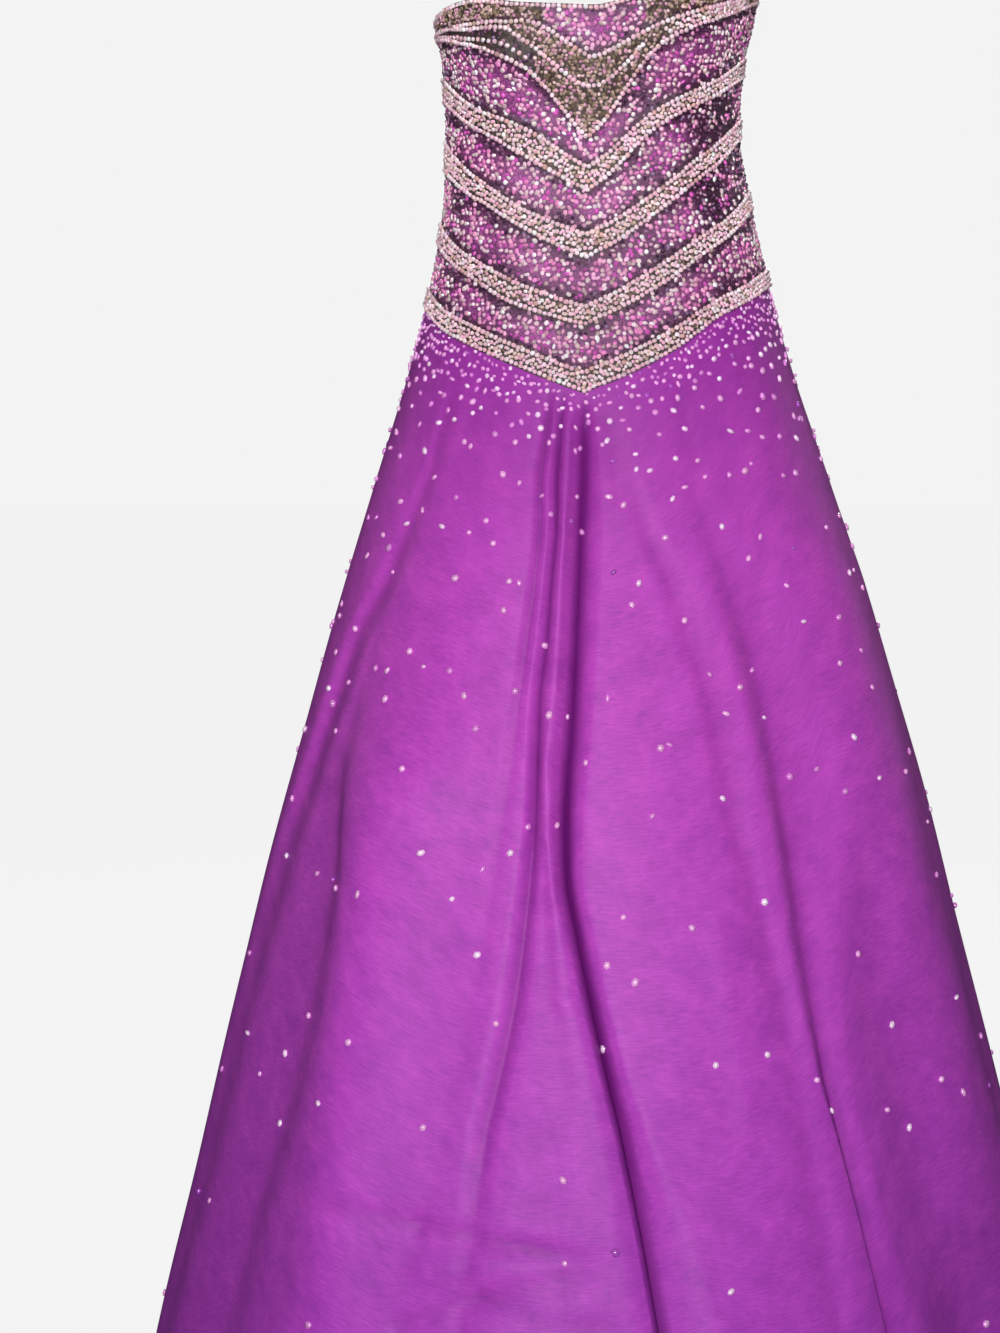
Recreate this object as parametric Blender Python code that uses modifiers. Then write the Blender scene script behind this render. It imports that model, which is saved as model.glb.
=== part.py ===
"""Strapless prom gown: a beaded bodice with a dropped V waist over a flared skirt.

The gown keeps the hollow form it has when worn. Its front faces -Y, +Z is up, and the
origin is the centre of the waist, where the wearer holds it. All sizes below are in
millimetres and angles in degrees. Angles run round the body from the centre front (0),
positive towards +X, to the centre back (180).
"""

import math
from collections import namedtuple

import bmesh
import bpy
from mathutils import Matrix, Vector

MM = 0.001

# Driving sizes
BODICE_WALL = 2.0
SKIRT_WALL = 1.5
BEADWORK_RELIEF = 1.4
BEADWORK_EDGE = 1.2
SEAM_GAP = 0.3
HEM_HEIGHT = -1250.0
SIDE_SEAM = 90.0
CENTRE_BACK = 180.0
PANELS = {
    "front": (-SIDE_SEAM, SIDE_SEAM),
    "back_left": (SIDE_SEAM, CENTRE_BACK),
    "back_right": (-CENTRE_BACK, -SIDE_SEAM),
}
CUP_REACH = 13.0
CUP_ANGLE = 31.0
CUP_SPREAD = 21.0
CUP_RISE = 44.0
CUP_HEIGHT_LEFT = 78.0
CUP_HEIGHT_RIGHT = 58.0

# Horizontal sections of the filled gown, from above the neckline to the hem.
Section = namedtuple("Section", "height half_width centre_x front_depth back_depth squareness turn")
SECTIONS = [
    Section(145, 151, 1, 110, 86, 2.3, 0.0),
    Section(100, 146, 1, 112, 87, 2.3, 0.0),
    Section(62, 138, 0, 108, 85, 2.3, -1.0),
    Section(0, 135, 0, 99, 84, 2.3, -2.0),
    Section(-60, 141, 4, 101, 96, 2.3, -3.2),
    Section(-130, 155, 7, 110, 115, 2.25, -4.5),
    Section(-210, 177, 8, 127, 139, 2.2, -5.0),
    Section(-320, 213, 10, 155, 171, 2.1, -5.0),
    Section(-550, 284, 13, 217, 241, 2.05, -5.0),
    Section(-780, 346, 15, 276, 307, 2.0, -5.0),
    Section(-1020, 407, 18, 338, 374, 2.0, -5.0),
    Section(-1250, 466, 22, 398, 438, 2.0, -5.0),
]

# Heights of the bodice's lines: its neckline, and the upper and lower edge of each beaded chevron.
# The right columns are the wearer's right side (-X); near, half and side are 22, 45 and 90 degrees.
STATIONS = (0.0, 22.5, 45.0, 90.0, 180.0)
Line = namedtuple("Line", "right_side right_half right_near tip left_near left_half left_side back")
BODICE_LINES = {
    "neckline": Line(102, 113, 107, 104, 124, 139, 136, 78),
    "cup_upper": Line(92, 93, 92, 61, 94, 110, 127, 62),
    "cup_lower": Line(83, 69, 49, -14, 73, 95, 116, 40),
    "rib_upper": Line(52, 19, 0, -35, 17, 41, 70, 18),
    "rib_lower": Line(27, -4, -29, -60, -3, 23, 50, -4),
    "waist_upper": Line(-5, -44, -72, -95, -54, -21, 15, -36),
    "waist_lower": Line(-35, -66, -92, -120, -76, -42, -5, -58),
    "high_hip_upper": Line(-80, -114, -138, -160, -120, -88, -52, -92),
    "high_hip_lower": Line(-100, -134, -161, -180, -141, -107, -70, -114),
    "hip_upper": Line(-139, -170, -192, -218, -182, -150, -124, -158),
    "hip_lower": Line(-157, -190, -212, -239, -203, -167, -141, -180),
}
CHEVRONS = ("cup", "rib", "waist", "high_hip", "hip")

# A row of the bodice's points: its line, the next line with its share, a height step, the relief
Row = namedtuple("Row", "line next share step relief")

# The skirt's folds. A fold's angles are where it runs at the six fold levels from the waist seam
# to the hem. Its widths are half widths, and its depths are how far it dips into the skirt.
FOLD_LEVELS = (0.0, 0.2, 0.4, 0.6, 0.8, 1.0)
Fold = namedtuple(
    "Fold", "angles width_top width_middle width_hem depth_top depth_middle depth_hem"
)
FOLDS = {
    "right_edge": Fold((-63, -65, -64, -66, -69, -72), 16, 24, 34, 1.0, 5, 9),
    "right_sweep": Fold((-46, -48, -46, -45, -51, -56), 20, 42, 54, 1.0, 10, 15),
    "right_lip": Fold((-6.5, -7.6, -8.6, -12, -15, -18), 7, 11, 22, 1.5, 6, 3),
    "centre_drop": Fold((0.4, -0.5, -3.2, 4.6, 9.8, 13.5), 7, 11, 14, 3.0, 13, 19),
    "left_soft": Fold((9, 17.6, 22.6, 24.3, 26, 28), 14, 24, 34, 0.8, 4, 7),
    "left_sweep": Fold((20, 25.6, 33.4, 36, 38.7, 42), 14, 22, 24, 1.0, 8, 17),
    "left_broad": Fold((44, 47, 50, 52, 55, 58), 18, 32, 44, 0.8, 5, 10),
    "left_edge": Fold((68, 70, 71, 72, 73, 74), 16, 26, 36, 1.0, 6, 10),
    "back_left_side": Fold((108, 106, 105, 104, 103, 103), 18, 34, 52, 1.0, 9, 18),
    "back_left_mid": Fold((128, 127, 127, 129, 131, 132), 18, 32, 44, 1.5, 11, 22),
    "back_left_inner": Fold((152, 153, 154, 155, 157, 158), 16, 28, 40, 2.0, 13, 24),
    "back_right_inner": Fold((-156, -156, -157, -157, -155, -154), 16, 30, 42, 2.0, 12, 22),
    "back_right_mid": Fold((-133, -131, -130, -129, -128, -129), 18, 34, 48, 1.5, 11, 20),
    "back_right_side": Fold((-110, -109, -108, -106, -105, -104), 18, 32, 50, 1.0, 9, 17),
}

# Columns of points follow each fold's edges, flanks and trough down the skirt. A flank lies at
# this share of a fold's half width, and a fold takes at most this share of the way to the next.
FOLD_FLANK = 0.55
FOLD_SHARE = 0.45
PLAIN_COLUMN_STEP = 7.5
SKIRT_LEVELS = (0.0, 0.035, 0.08, 0.14, 0.21, 0.28, 0.35, 0.41, 0.48, 0.56, 0.65, 0.74, 0.83, 0.92, 1.0)

# Column angles of the bodice on one side of the centre front
FRONT_STEPS = 14
FRONT_CROWDING = 1.15
BACK_STEPS = 10

# Concealed zip in the centre back seam: its tape, its slider and the slider's pull
ZIP_END_HEIGHT = -330.0
ZIP_TAPE_WIDTH = 22.0
ZIP_TAPE_WALL = 1.0
ZIP_TAPE_TOP_INSET = 3.0
SLIDER_WIDTH = 6.5
SLIDER_LENGTH = 10.0
SLIDER_THICKNESS = 2.4
SLIDER_BELOW_NECKLINE = 9.0
SLIDER_CORNER = 0.8
BRIDGE_RADIUS = 2.2
BRIDGE_WIRE_RADIUS = 0.6
PIVOT_STANDOFF = 1.3
PULL_THICKNESS = 1.2
PULL_CROSSBAR = 1.2
PULL_EYE_LENGTH = 3.4
PULL_EYE_WIDTH = 2.6
PULL_HEAD_WIDTH = 5.4
PULL_LENGTH = 24.0
PULL_DROP_RADIUS = 4.0
PULL_DROP_START = 40.0
PULL_SHOULDER = 1.0
PULL_CHAMFER = 0.8

# Colours are linear
VIOLET_SATIN = (0.42, 0.07, 0.47)
BEADED_MESH = (0.36, 0.20, 0.30)
ZIP_TAPE_VIOLET = (0.22, 0.03, 0.26)
NICKEL = (0.62, 0.58, 0.60)


def smooth_between(x, xs, ys):
    """A smooth curve through the points (xs, ys), xs rising, that never overshoots them."""
    if x <= xs[0]:
        return ys[0]
    if x >= xs[-1]:
        return ys[-1]
    slopes = [(ys[i + 1] - ys[i]) / (xs[i + 1] - xs[i]) for i in range(len(xs) - 1)]

    def tangent(i):
        if i in (0, len(xs) - 1):
            return slopes[0] if i == 0 else slopes[-1]
        before, after = slopes[i - 1], slopes[i]
        if before * after <= 0:
            return 0.0
        return 2 * before * after / (before + after)

    i = max(k for k in range(len(xs) - 1) if xs[k] <= x)
    span = xs[i + 1] - xs[i]
    t = (x - xs[i]) / span
    return (
        ys[i] * (1 + 2 * t) * (1 - t) ** 2
        + ys[i + 1] * t * t * (3 - 2 * t)
        + span * (tangent(i) * t * (1 - t) ** 2 - tangent(i + 1) * t * t * (1 - t))
    )


SECTIONS_RISING = SECTIONS[::-1]
SECTION_HEIGHTS = [s.height for s in SECTIONS_RISING]
SECTION_VALUES = {
    name: [getattr(s, name) for s in SECTIONS_RISING] for name in Section._fields[1:]
}


def section_at(height):
    """The section's half width, centre, front depth, back depth, squareness and turn."""
    return [
        smooth_between(height, SECTION_HEIGHTS, SECTION_VALUES[name])
        for name in Section._fields[1:]
    ]


def cup_reach(angle, height):
    """How far the bust cups stand forward of the plain section."""
    reach = 0.0
    for side, cup_height in ((1, CUP_HEIGHT_LEFT), (-1, CUP_HEIGHT_RIGHT)):
        across = (angle - side * CUP_ANGLE) / CUP_SPREAD
        along = (height - cup_height) / CUP_RISE
        reach += CUP_REACH * math.exp(-across * across - along * along)
    return reach


def body_point(angle, height):
    """The gown's outer surface without folds, at an angle round the body and a height."""
    half_width, centre_x, front, back, squareness, turn = section_at(height)
    turned = math.radians(angle + turn)
    sine, cosine = math.sin(turned), math.cos(turned)
    power = 2.0 / squareness
    across = math.copysign(abs(sine) ** power, sine)
    along = math.copysign(abs(cosine) ** power, cosine)
    reach = cup_reach(angle, height)
    depth = front if cosine > 0 else back
    return Vector(
        (centre_x + (half_width + reach) * across, -(depth + reach) * along, height)
    )


def body_normal(angle, height):
    """The outward normal of the body surface."""
    round_body = body_point(angle + 1.0, height) - body_point(angle - 1.0, height)
    up_body = body_point(angle, height + 2.0) - body_point(angle, height - 2.0)
    return round_body.cross(up_body).normalized()


def millimetres_per_degree(angle, height):
    return (body_point(angle + 0.5, height) - body_point(angle - 0.5, height)).length


def line_height(line, angle):
    """The height of a bodice line at an angle; it comes to a point at centre front and back."""
    values = BODICE_LINES[line]
    if angle < 0:
        side = (values.tip, values.right_near, values.right_half, values.right_side, values.back)
    else:
        side = (values.tip, values.left_near, values.left_half, values.left_side, values.back)
    return smooth_between(abs(angle), STATIONS, side)


def cloth_wall(name, outer, inner, material):
    """A closed wall between two grids of points: a list of rows, each from one edge to the other."""
    rows, columns = len(outer), len(outer[0])
    mesh = bmesh.new()
    faces = [
        [[mesh.verts.new(point * MM) for point in row] for row in grid]
        for grid in (outer, inner)
    ]
    for r in range(rows - 1):
        for c in range(columns - 1):
            for grid, corners in (
                (faces[0], ((r, c), (r + 1, c), (r + 1, c + 1), (r, c + 1))),
                (faces[1], ((r, c), (r, c + 1), (r + 1, c + 1), (r + 1, c))),
            ):
                mesh.faces.new([grid[i][j] for i, j in corners])
    border = (
        [(0, c) for c in range(columns - 1, 0, -1)]
        + [(r, 0) for r in range(rows - 1)]
        + [(rows - 1, c) for c in range(columns - 1)]
        + [(r, columns - 1) for r in range(rows - 1, 0, -1)]
    )
    for (i, j), (k, m) in zip(border, border[1:] + border[:1]):
        mesh.faces.new((faces[0][i][j], faces[1][i][j], faces[1][k][m], faces[0][k][m]))
    bmesh.ops.recalc_face_normals(mesh, faces=mesh.faces[:])
    data = bpy.data.meshes.new(name)
    mesh.to_mesh(data)
    mesh.free()
    data.shade_smooth()
    data.set_sharp_from_angle(angle=math.radians(50))
    node = bpy.data.objects.new(name, data)
    data.materials.append(material)
    GOWN.objects.link(node)
    return node


def edge_inset(angle, height, first, last):
    """The angle moved in by half a seam's gap where it is one of a panel's two side edges."""
    half_gap = 0.5 * SEAM_GAP / millimetres_per_degree(angle, height)
    return angle + half_gap * ((angle == first) - (angle == last))


def bodice_columns(first, last):
    """A panel's column angles, crowded towards the centre front, where the chevrons turn."""
    side = [SIDE_SEAM * (k / FRONT_STEPS) ** FRONT_CROWDING for k in range(FRONT_STEPS + 1)]
    step = (CENTRE_BACK - SIDE_SEAM) / BACK_STEPS
    side += [SIDE_SEAM + step * k for k in range(1, BACK_STEPS + 1)]
    return [angle for angle in [-a for a in side[:0:-1]] + side if first <= angle <= last]


def bodice_rows():
    """The rows from the neckline down: two for each edge of a chevron, one between chevrons."""
    rows = [Row("neckline", "neckline", 0, 0, 0)]
    for chevron, following in zip(CHEVRONS, CHEVRONS[1:] + (None,)):
        upper, lower = chevron + "_upper", chevron + "_lower"
        rows.append(Row(upper, upper, 0, BEADWORK_EDGE, 0))
        rows.append(Row(upper, upper, 0, -BEADWORK_EDGE, BEADWORK_RELIEF))
        if following is None:
            rows.append(Row(lower, lower, 0, 0.5 * SEAM_GAP, BEADWORK_RELIEF))
            continue
        rows.append(Row(lower, lower, 0, BEADWORK_EDGE, BEADWORK_RELIEF))
        rows.append(Row(lower, lower, 0, -BEADWORK_EDGE, 0))
        rows.append(Row(lower, following + "_upper", 0.5, 0, 0))
    return rows


def bodice_height(row, angle):
    between = line_height(row.line, angle) * (1 - row.share) + line_height(row.next, angle) * row.share
    return between + row.step


def bodice_panel(name, first, last, material):
    """A panel of the bodice: its chevrons are raised in the outer face over a plain inside."""
    outer, inner = [], []
    for row in bodice_rows():
        outer_row, inner_row = [], []
        for angle in bodice_columns(first, last):
            height = bodice_height(row, angle)
            at = edge_inset(angle, height, first, last)
            point, normal = body_point(at, height), body_normal(at, height)
            outer_row.append(point + normal * row.relief)
            inner_row.append(point - normal * BODICE_WALL)
        outer.append(outer_row)
        inner.append(inner_row)
    return cloth_wall(name, outer, inner, material)


def fold_angle(fold, level):
    return smooth_between(level, FOLD_LEVELS, fold.angles)


def fold_half_width(fold, level):
    widths = (fold.width_top, fold.width_middle, fold.width_hem)
    return smooth_between(level, (0.0, 0.5, 1.0), widths)


def fold_depth(fold, level):
    """A fold starts at nothing in the waist seam and reaches its top depth just below it."""
    depths = (0.0, fold.depth_top, fold.depth_middle, fold.depth_hem)
    return smooth_between(level, (0.0, 0.08, 0.5, 1.0), depths)


def skirt_height(angle, level):
    """Heights fall from the waist seam, which is the bodice's lower line, to the level hem."""
    top = line_height("hip_lower", angle) - 0.5 * SEAM_GAP
    return top + (HEM_HEIGHT - top) * level


def fold_dip(angle, level, height):
    """How far the cloth lies inside the plain surface, from all the folds near it."""
    scale = millimetres_per_degree(angle, height)
    dip = 0.0
    for fold in FOLDS.values():
        apart = abs(angle - fold_angle(fold, level)) * scale / fold_half_width(fold, level)
        if apart < 1:
            dip += fold_depth(fold, level) * 0.5 * (1 + math.cos(math.pi * apart))
    return dip


def skirt_point(angle, level):
    """The skirt's outer face: folds dip straight in from the plain surface, so the hem is level."""
    height = skirt_height(angle, level)
    inward = body_normal(angle, height) * Vector((-1, -1, 0))
    return body_point(angle, height) + inward.normalized() * fold_dip(angle, level, height)


def skirt_normal(angle, level):
    round_skirt = skirt_point(angle + 0.4, level) - skirt_point(angle - 0.4, level)
    low, high = min(level + 0.004, 1.0), max(level - 0.004, 0.0)
    up_skirt = skirt_point(angle, high) - skirt_point(angle, low)
    return round_skirt.cross(up_skirt).normalized()


def fold_spans(folds, level, first, last):
    """Each fold's edges and trough at a level, as angles, kept apart from the next fold's."""
    troughs = [fold_angle(fold, level) for fold in folds]
    spans = []
    for fold, before, trough, after in zip(folds, [first] + troughs, troughs, troughs[1:] + [last]):
        scale = millimetres_per_degree(trough, skirt_height(trough, level))
        reach = fold_half_width(fold, level) / scale
        left = trough - min(reach, FOLD_SHARE * (trough - before))
        right = trough + min(reach, FOLD_SHARE * (after - trough))
        spans.append((left, trough, right))
    return spans


def skirt_columns(level, first, last):
    """Column angles at a level: five follow each fold, with plain ones evenly between them."""
    folds = [f for f in FOLDS.values() if first < fold_angle(f, 0.5) < last]
    folds.sort(key=lambda fold: fold_angle(fold, 0.5))
    spans = fold_spans(folds, level, first, last) + [(last, last, last)]
    middle_spans = fold_spans(folds, 0.5, first, last) + [(last, last, last)]
    columns, middle_end = [first], first
    for (left, trough, right), middle in zip(spans, middle_spans):
        start = columns[-1]
        count = max(1, round((middle[0] - middle_end) / PLAIN_COLUMN_STEP))
        columns += [start + (left - start) * k / count for k in range(1, count + 1)]
        if left < right:
            columns += [trough + (left - trough) * FOLD_FLANK, trough]
            columns += [trough + (right - trough) * FOLD_FLANK, right]
        middle_end = middle[2]
    return columns


def waist_seam_row(first, last):
    """The skirt's top row on both faces, which follows the bodice's lower edge point for point."""
    stops = bodice_columns(first, last)
    columns = skirt_columns(0.0, first, last)
    for stop in stops:
        nearest = min(range(len(columns)), key=lambda k: abs(columns[k] - stop))
        columns[nearest] = stop
    outer, inner = [], []
    for stop in stops:
        at = edge_inset(stop, skirt_height(stop, 0), first, last)
        height = skirt_height(at, 0)
        outer.append(body_point(at, height))
        inner.append(outer[-1] - body_normal(at, height) * SKIRT_WALL)
    rows = ([], [])
    for angle in columns:
        k = min(sum(stop <= angle for stop in stops) - 1, len(stops) - 2)
        share = (angle - stops[k]) / (stops[k + 1] - stops[k])
        for row, edge in zip(rows, (outer, inner)):
            row.append(edge[k].lerp(edge[k + 1], share))
    return rows


def skirt_panel(name, first, last, material):
    """A panel of the skirt between two seams, from the waist seam to the hem."""
    top_outer, top_inner = waist_seam_row(first, last)
    outer, inner = [top_outer], [top_inner]
    for level in SKIRT_LEVELS[1:]:
        outer_row, inner_row = [], []
        for angle in skirt_columns(level, first, last):
            at = edge_inset(angle, skirt_height(angle, level), first, last)
            point = skirt_point(at, level)
            outer_row.append(point)
            inner_row.append(point - skirt_normal(at, level) * SKIRT_WALL)
        outer.append(outer_row)
        inner.append(inner_row)
    return cloth_wall(name, outer, inner, material)


def seam_columns(step):
    """The centre back seam and the panels' next columns to its left and right."""
    return (CENTRE_BACK - step, CENTRE_BACK, step - CENTRE_BACK)


def zip_tape(material):
    """The closed zip's tape, laid just inside the back panels' own points at the centre back."""
    bodice_step = CENTRE_BACK - bodice_columns(SIDE_SEAM, CENTRE_BACK)[-2]
    places = [[(a, bodice_height(row, a)) for a in seam_columns(bodice_step)] for row in bodice_rows()]
    neckline, below = places[0][1][1], places[1][1][1]
    share = ZIP_TAPE_TOP_INSET / (neckline - below)
    places[0] = [
        (angle, top + (low - top) * share) for (angle, top), (_, low) in zip(places[0], places[1])
    ]
    for level in SKIRT_LEVELS[1:]:
        if skirt_height(CENTRE_BACK, level) > ZIP_END_HEIGHT:
            step = CENTRE_BACK - skirt_columns(level, SIDE_SEAM, CENTRE_BACK)[-2]
            places.append([(a, skirt_height(a, level)) for a in seam_columns(step)])
    outer, inner = [], []
    for row in places:
        for grid, depth in ((outer, 0.0), (inner, ZIP_TAPE_WALL)):
            inward = BODICE_WALL + SEAM_GAP + depth
            left, centre, right = [
                body_point(angle, height) - body_normal(angle, height) * inward
                for angle, height in row
            ]
            reach_left = 0.5 * ZIP_TAPE_WIDTH / (left - centre).length
            reach_right = 0.5 * ZIP_TAPE_WIDTH / (right - centre).length
            grid.append([centre.lerp(left, reach_left), centre, centre.lerp(right, reach_right)])
    return cloth_wall("zip_tape", outer, inner, material)


def link_as_node(obj, name, material):
    """Names an object that an operator made, gives it its material and files it with the gown."""
    obj.name = name
    obj.data.name = name
    obj.data.materials.append(material)
    for collection in list(obj.users_collection):
        collection.objects.unlink(obj)
    GOWN.objects.link(obj)
    return obj


def apply_scale(obj):
    """Scale goes into the mesh before a Bevel is added, whose width it would stretch."""
    obj.data.transform(Matrix.Diagonal((*obj.scale, 1.0)))
    obj.scale = (1.0, 1.0, 1.0)


def slider_place():
    """The centre of the slider's inner face, on the plain strip under the back neckline."""
    height = BODICE_LINES["neckline"].back - SLIDER_BELOW_NECKLINE
    spots = [height + SLIDER_LENGTH * share for share in (-0.5, 0.0, 0.5)]
    outermost = max(body_point(CENTRE_BACK, spot).y for spot in spots)
    centre = body_point(CENTRE_BACK, height)
    return Vector((centre.x, outermost + SEAM_GAP, height))


def zip_slider(material):
    """The slider's body with a wire bridge over its face, joined into one piece."""
    place = slider_place()
    body_centre = place + Vector((0, 0.5 * SLIDER_THICKNESS, 0))
    bpy.ops.mesh.primitive_cube_add(size=MM, location=body_centre * MM)
    slider = bpy.context.object
    slider.scale = (SLIDER_WIDTH, SLIDER_THICKNESS, SLIDER_LENGTH)
    apply_scale(slider)
    corners = slider.modifiers.new("corners", "BEVEL")
    corners.width = SLIDER_CORNER * MM
    corners.segments = 2
    bridge_centre = place + Vector((0, SLIDER_THICKNESS + PIVOT_STANDOFF, 0))
    bpy.ops.mesh.primitive_torus_add(
        major_radius=BRIDGE_RADIUS * MM,
        minor_radius=BRIDGE_WIRE_RADIUS * MM,
        major_segments=20,
        minor_segments=8,
        location=bridge_centre * MM,
        rotation=(0, math.radians(90), 0),
    )
    bridge = bpy.context.object
    bridge.name = "bridge_wire"
    bridge.hide_render = True
    bridge.display_type = "WIRE"
    for collection in list(bridge.users_collection):
        collection.objects.unlink(bridge)
    CUTTERS.objects.link(bridge)
    join = slider.modifiers.new("bridge", "BOOLEAN")
    join.operation = "UNION"
    join.object = bridge
    return link_as_node(slider, "zip_slider", material)


def pull_outline():
    """The pull's edge from its head, down one side and round the drop, with the pivot at 0, 0."""
    top = 0.5 * PULL_CROSSBAR
    half_head = 0.5 * PULL_HEAD_WIDTH
    shoulder = -(top + PULL_EYE_LENGTH + PULL_SHOULDER)
    drop_centre = top - PULL_LENGTH + PULL_DROP_RADIUS
    side = [
        (half_head - PULL_CHAMFER, top),
        (half_head, top - PULL_CHAMFER),
        (half_head, shoulder),
        (0.5 * half_head, shoulder - 2 * PULL_SHOULDER),
    ]
    steps = 6
    for k in range(steps + 1):
        turn = math.radians(PULL_DROP_START - (PULL_DROP_START + 90) * k / steps)
        side.append(
            (PULL_DROP_RADIUS * math.cos(turn), drop_centre + PULL_DROP_RADIUS * math.sin(turn))
        )
    return side + [(-x, y) for x, y in side[-2::-1]]


def zip_pull(material):
    """A flat drop-shaped pull whose eye passes under the bridge; its origin is on the pivot."""
    eye_top = -0.5 * PULL_CROSSBAR
    half_eye = 0.5 * PULL_EYE_WIDTH
    eye = [
        (half_eye, eye_top),
        (half_eye, eye_top - PULL_EYE_LENGTH),
        (-half_eye, eye_top - PULL_EYE_LENGTH),
        (-half_eye, eye_top),
    ]
    curve = bpy.data.curves.new("zip_pull", "CURVE")
    curve.dimensions = "2D"
    curve.fill_mode = "BOTH"
    curve.extrude = 0.5 * PULL_THICKNESS * MM
    for outline in (pull_outline(), eye):
        spline = curve.splines.new("POLY")
        spline.points.add(len(outline) - 1)
        for point, (x, y) in zip(spline.points, outline):
            point.co = (x * MM, y * MM, 0, 1)
        spline.use_cyclic_u = True
    pull = bpy.data.objects.new("zip_pull", curve)
    pull.rotation_euler = (math.radians(90), 0, 0)
    pull.location = (slider_place() + Vector((0, SLIDER_THICKNESS + PIVOT_STANDOFF, 0))) * MM
    curve.materials.append(material)
    GOWN.objects.link(pull)
    return pull


def surface_finish(name, colour, roughness, metallic):
    finish = bpy.data.materials.new(name)
    finish.use_nodes = True
    shader = finish.node_tree.nodes["Principled BSDF"]
    shader.inputs["Base Color"].default_value = (*colour, 1.0)
    shader.inputs["Roughness"].default_value = roughness
    shader.inputs["Metallic"].default_value = metallic
    return finish


def new_collection(name):
    collection = bpy.data.collections.new(name)
    bpy.context.scene.collection.children.link(collection)
    return collection


def build_gown():
    satin = surface_finish("violet satin", VIOLET_SATIN, 0.5, 0.0)
    beadwork = surface_finish("beaded mesh", BEADED_MESH, 0.4, 0.0)
    tape = surface_finish("zip tape", ZIP_TAPE_VIOLET, 0.8, 0.0)
    nickel = surface_finish("nickel", NICKEL, 0.25, 1.0)
    for side, (first, last) in PANELS.items():
        bodice_panel("bodice_" + side, first, last, beadwork)
        skirt_panel("skirt_" + side, first, last, satin)
    zip_tape(tape)
    zip_slider(nickel)
    zip_pull(nickel)


for leftover in list(bpy.data.objects):
    bpy.data.objects.remove(leftover)
GOWN = new_collection("Prom gown")
CUTTERS = new_collection("Cutters")
build_gown()
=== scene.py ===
import math
from collections import namedtuple

import bpy
import numpy as np
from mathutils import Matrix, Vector
from mathutils.kdtree import KDTree


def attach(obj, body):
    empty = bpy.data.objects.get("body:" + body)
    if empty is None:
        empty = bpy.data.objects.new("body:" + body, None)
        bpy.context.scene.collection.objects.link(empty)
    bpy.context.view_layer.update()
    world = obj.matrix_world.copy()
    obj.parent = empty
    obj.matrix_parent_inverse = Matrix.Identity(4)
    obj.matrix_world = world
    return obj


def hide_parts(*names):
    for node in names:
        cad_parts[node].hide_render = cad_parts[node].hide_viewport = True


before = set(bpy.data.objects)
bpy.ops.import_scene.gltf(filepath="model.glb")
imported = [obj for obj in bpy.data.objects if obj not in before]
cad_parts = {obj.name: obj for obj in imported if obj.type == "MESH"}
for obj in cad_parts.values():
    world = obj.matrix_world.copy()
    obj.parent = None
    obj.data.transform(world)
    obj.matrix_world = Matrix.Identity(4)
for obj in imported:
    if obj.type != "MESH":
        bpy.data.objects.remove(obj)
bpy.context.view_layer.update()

# Sizes are in millimetres and angles in degrees. Angles run round the body from the centre
# front (0), positive towards +X, to the centre back (180). Each function takes whole arrays.
MM = 0.001

BODICE_WALL = 2.0
SKIRT_WALL = 1.5
BEADWORK_RELIEF = 1.2
BEADWORK_EDGE = 1.2
SEAM_GAP = 0.06
HEM_HEIGHT = -1250.0
FLOOR_HEIGHT = -1256.0
PANELS = {"front": (-90.0, 90.0), "back_left": (90.0, 180.0), "back_right": (-180.0, -90.0)}
CUP_REACH = 13.0
CUP_ANGLE = 31.0
CUP_SPREAD = 21.0
CUP_RISE = 44.0
CUP_HEIGHTS = {1: 78.0, -1: 58.0}

# The camera that the photograph was taken with
CAMERA_PLACE = (-0.0861, -2.5858, -0.2258)
CAMERA_TILT = 84.0
CAMERA_LENS = 73.92

# Horizontal sections of the filled gown, from the hem up
Section = namedtuple("Section", "height half_width centre_x front_depth back_depth squareness turn")
SECTIONS = [
    Section(-1250, 466, 22, 398, 438, 2.0, -5.0),
    Section(-1020, 407, 18, 338, 374, 2.0, -5.0),
    Section(-780, 346, 15, 276, 307, 2.0, -5.0),
    Section(-550, 284, 13, 217, 241, 2.05, -5.0),
    Section(-320, 213, 10, 155, 171, 2.1, -5.0),
    Section(-210, 177, 8, 127, 139, 2.2, -5.0),
    Section(-130, 155, 7, 110, 115, 2.25, -4.5),
    Section(-60, 141, 4, 101, 96, 2.3, -3.2),
    Section(0, 135, 0, 99, 84, 2.3, -2.0),
    Section(62, 138, 0, 108, 85, 2.3, -1.0),
    Section(100, 146, 1, 112, 87, 2.3, 0.0),
    Section(145, 151, 1, 110, 86, 2.3, 0.0),
]

# Heights of the bodice's lines at 90, 45, 22 and 0 degrees on each side and at the centre back.
# The right columns are the wearer's right side (-X).
STATIONS = (0.0, 22.5, 45.0, 90.0, 180.0)
Line = namedtuple(
    "Line", "right_side right_half right_near tip left_near left_half left_side back"
)
BODICE_LINES = {
    "neckline": Line(102, 113, 107, 104, 124, 139, 136, 78),
    "cup_upper": Line(92, 93, 92, 61, 94, 110, 127, 62),
    "cup_lower": Line(83, 69, 49, -14, 73, 95, 116, 40),
    "rib_upper": Line(52, 19, 0, -35, 17, 41, 70, 18),
    "rib_lower": Line(27, -4, -29, -60, -3, 23, 50, -4),
    "waist_upper": Line(-5, -44, -72, -95, -54, -21, 15, -36),
    "waist_lower": Line(-35, -66, -92, -120, -76, -42, -5, -58),
    "high_hip_upper": Line(-80, -114, -138, -160, -120, -88, -52, -92),
    "high_hip_lower": Line(-100, -134, -161, -180, -141, -107, -70, -114),
    "hip_upper": Line(-139, -170, -192, -218, -182, -150, -124, -158),
    "hip_lower": Line(-157, -190, -212, -239, -203, -167, -141, -180),
}
CHEVRONS = ("cup", "rib", "waist", "high_hip", "hip")

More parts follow.
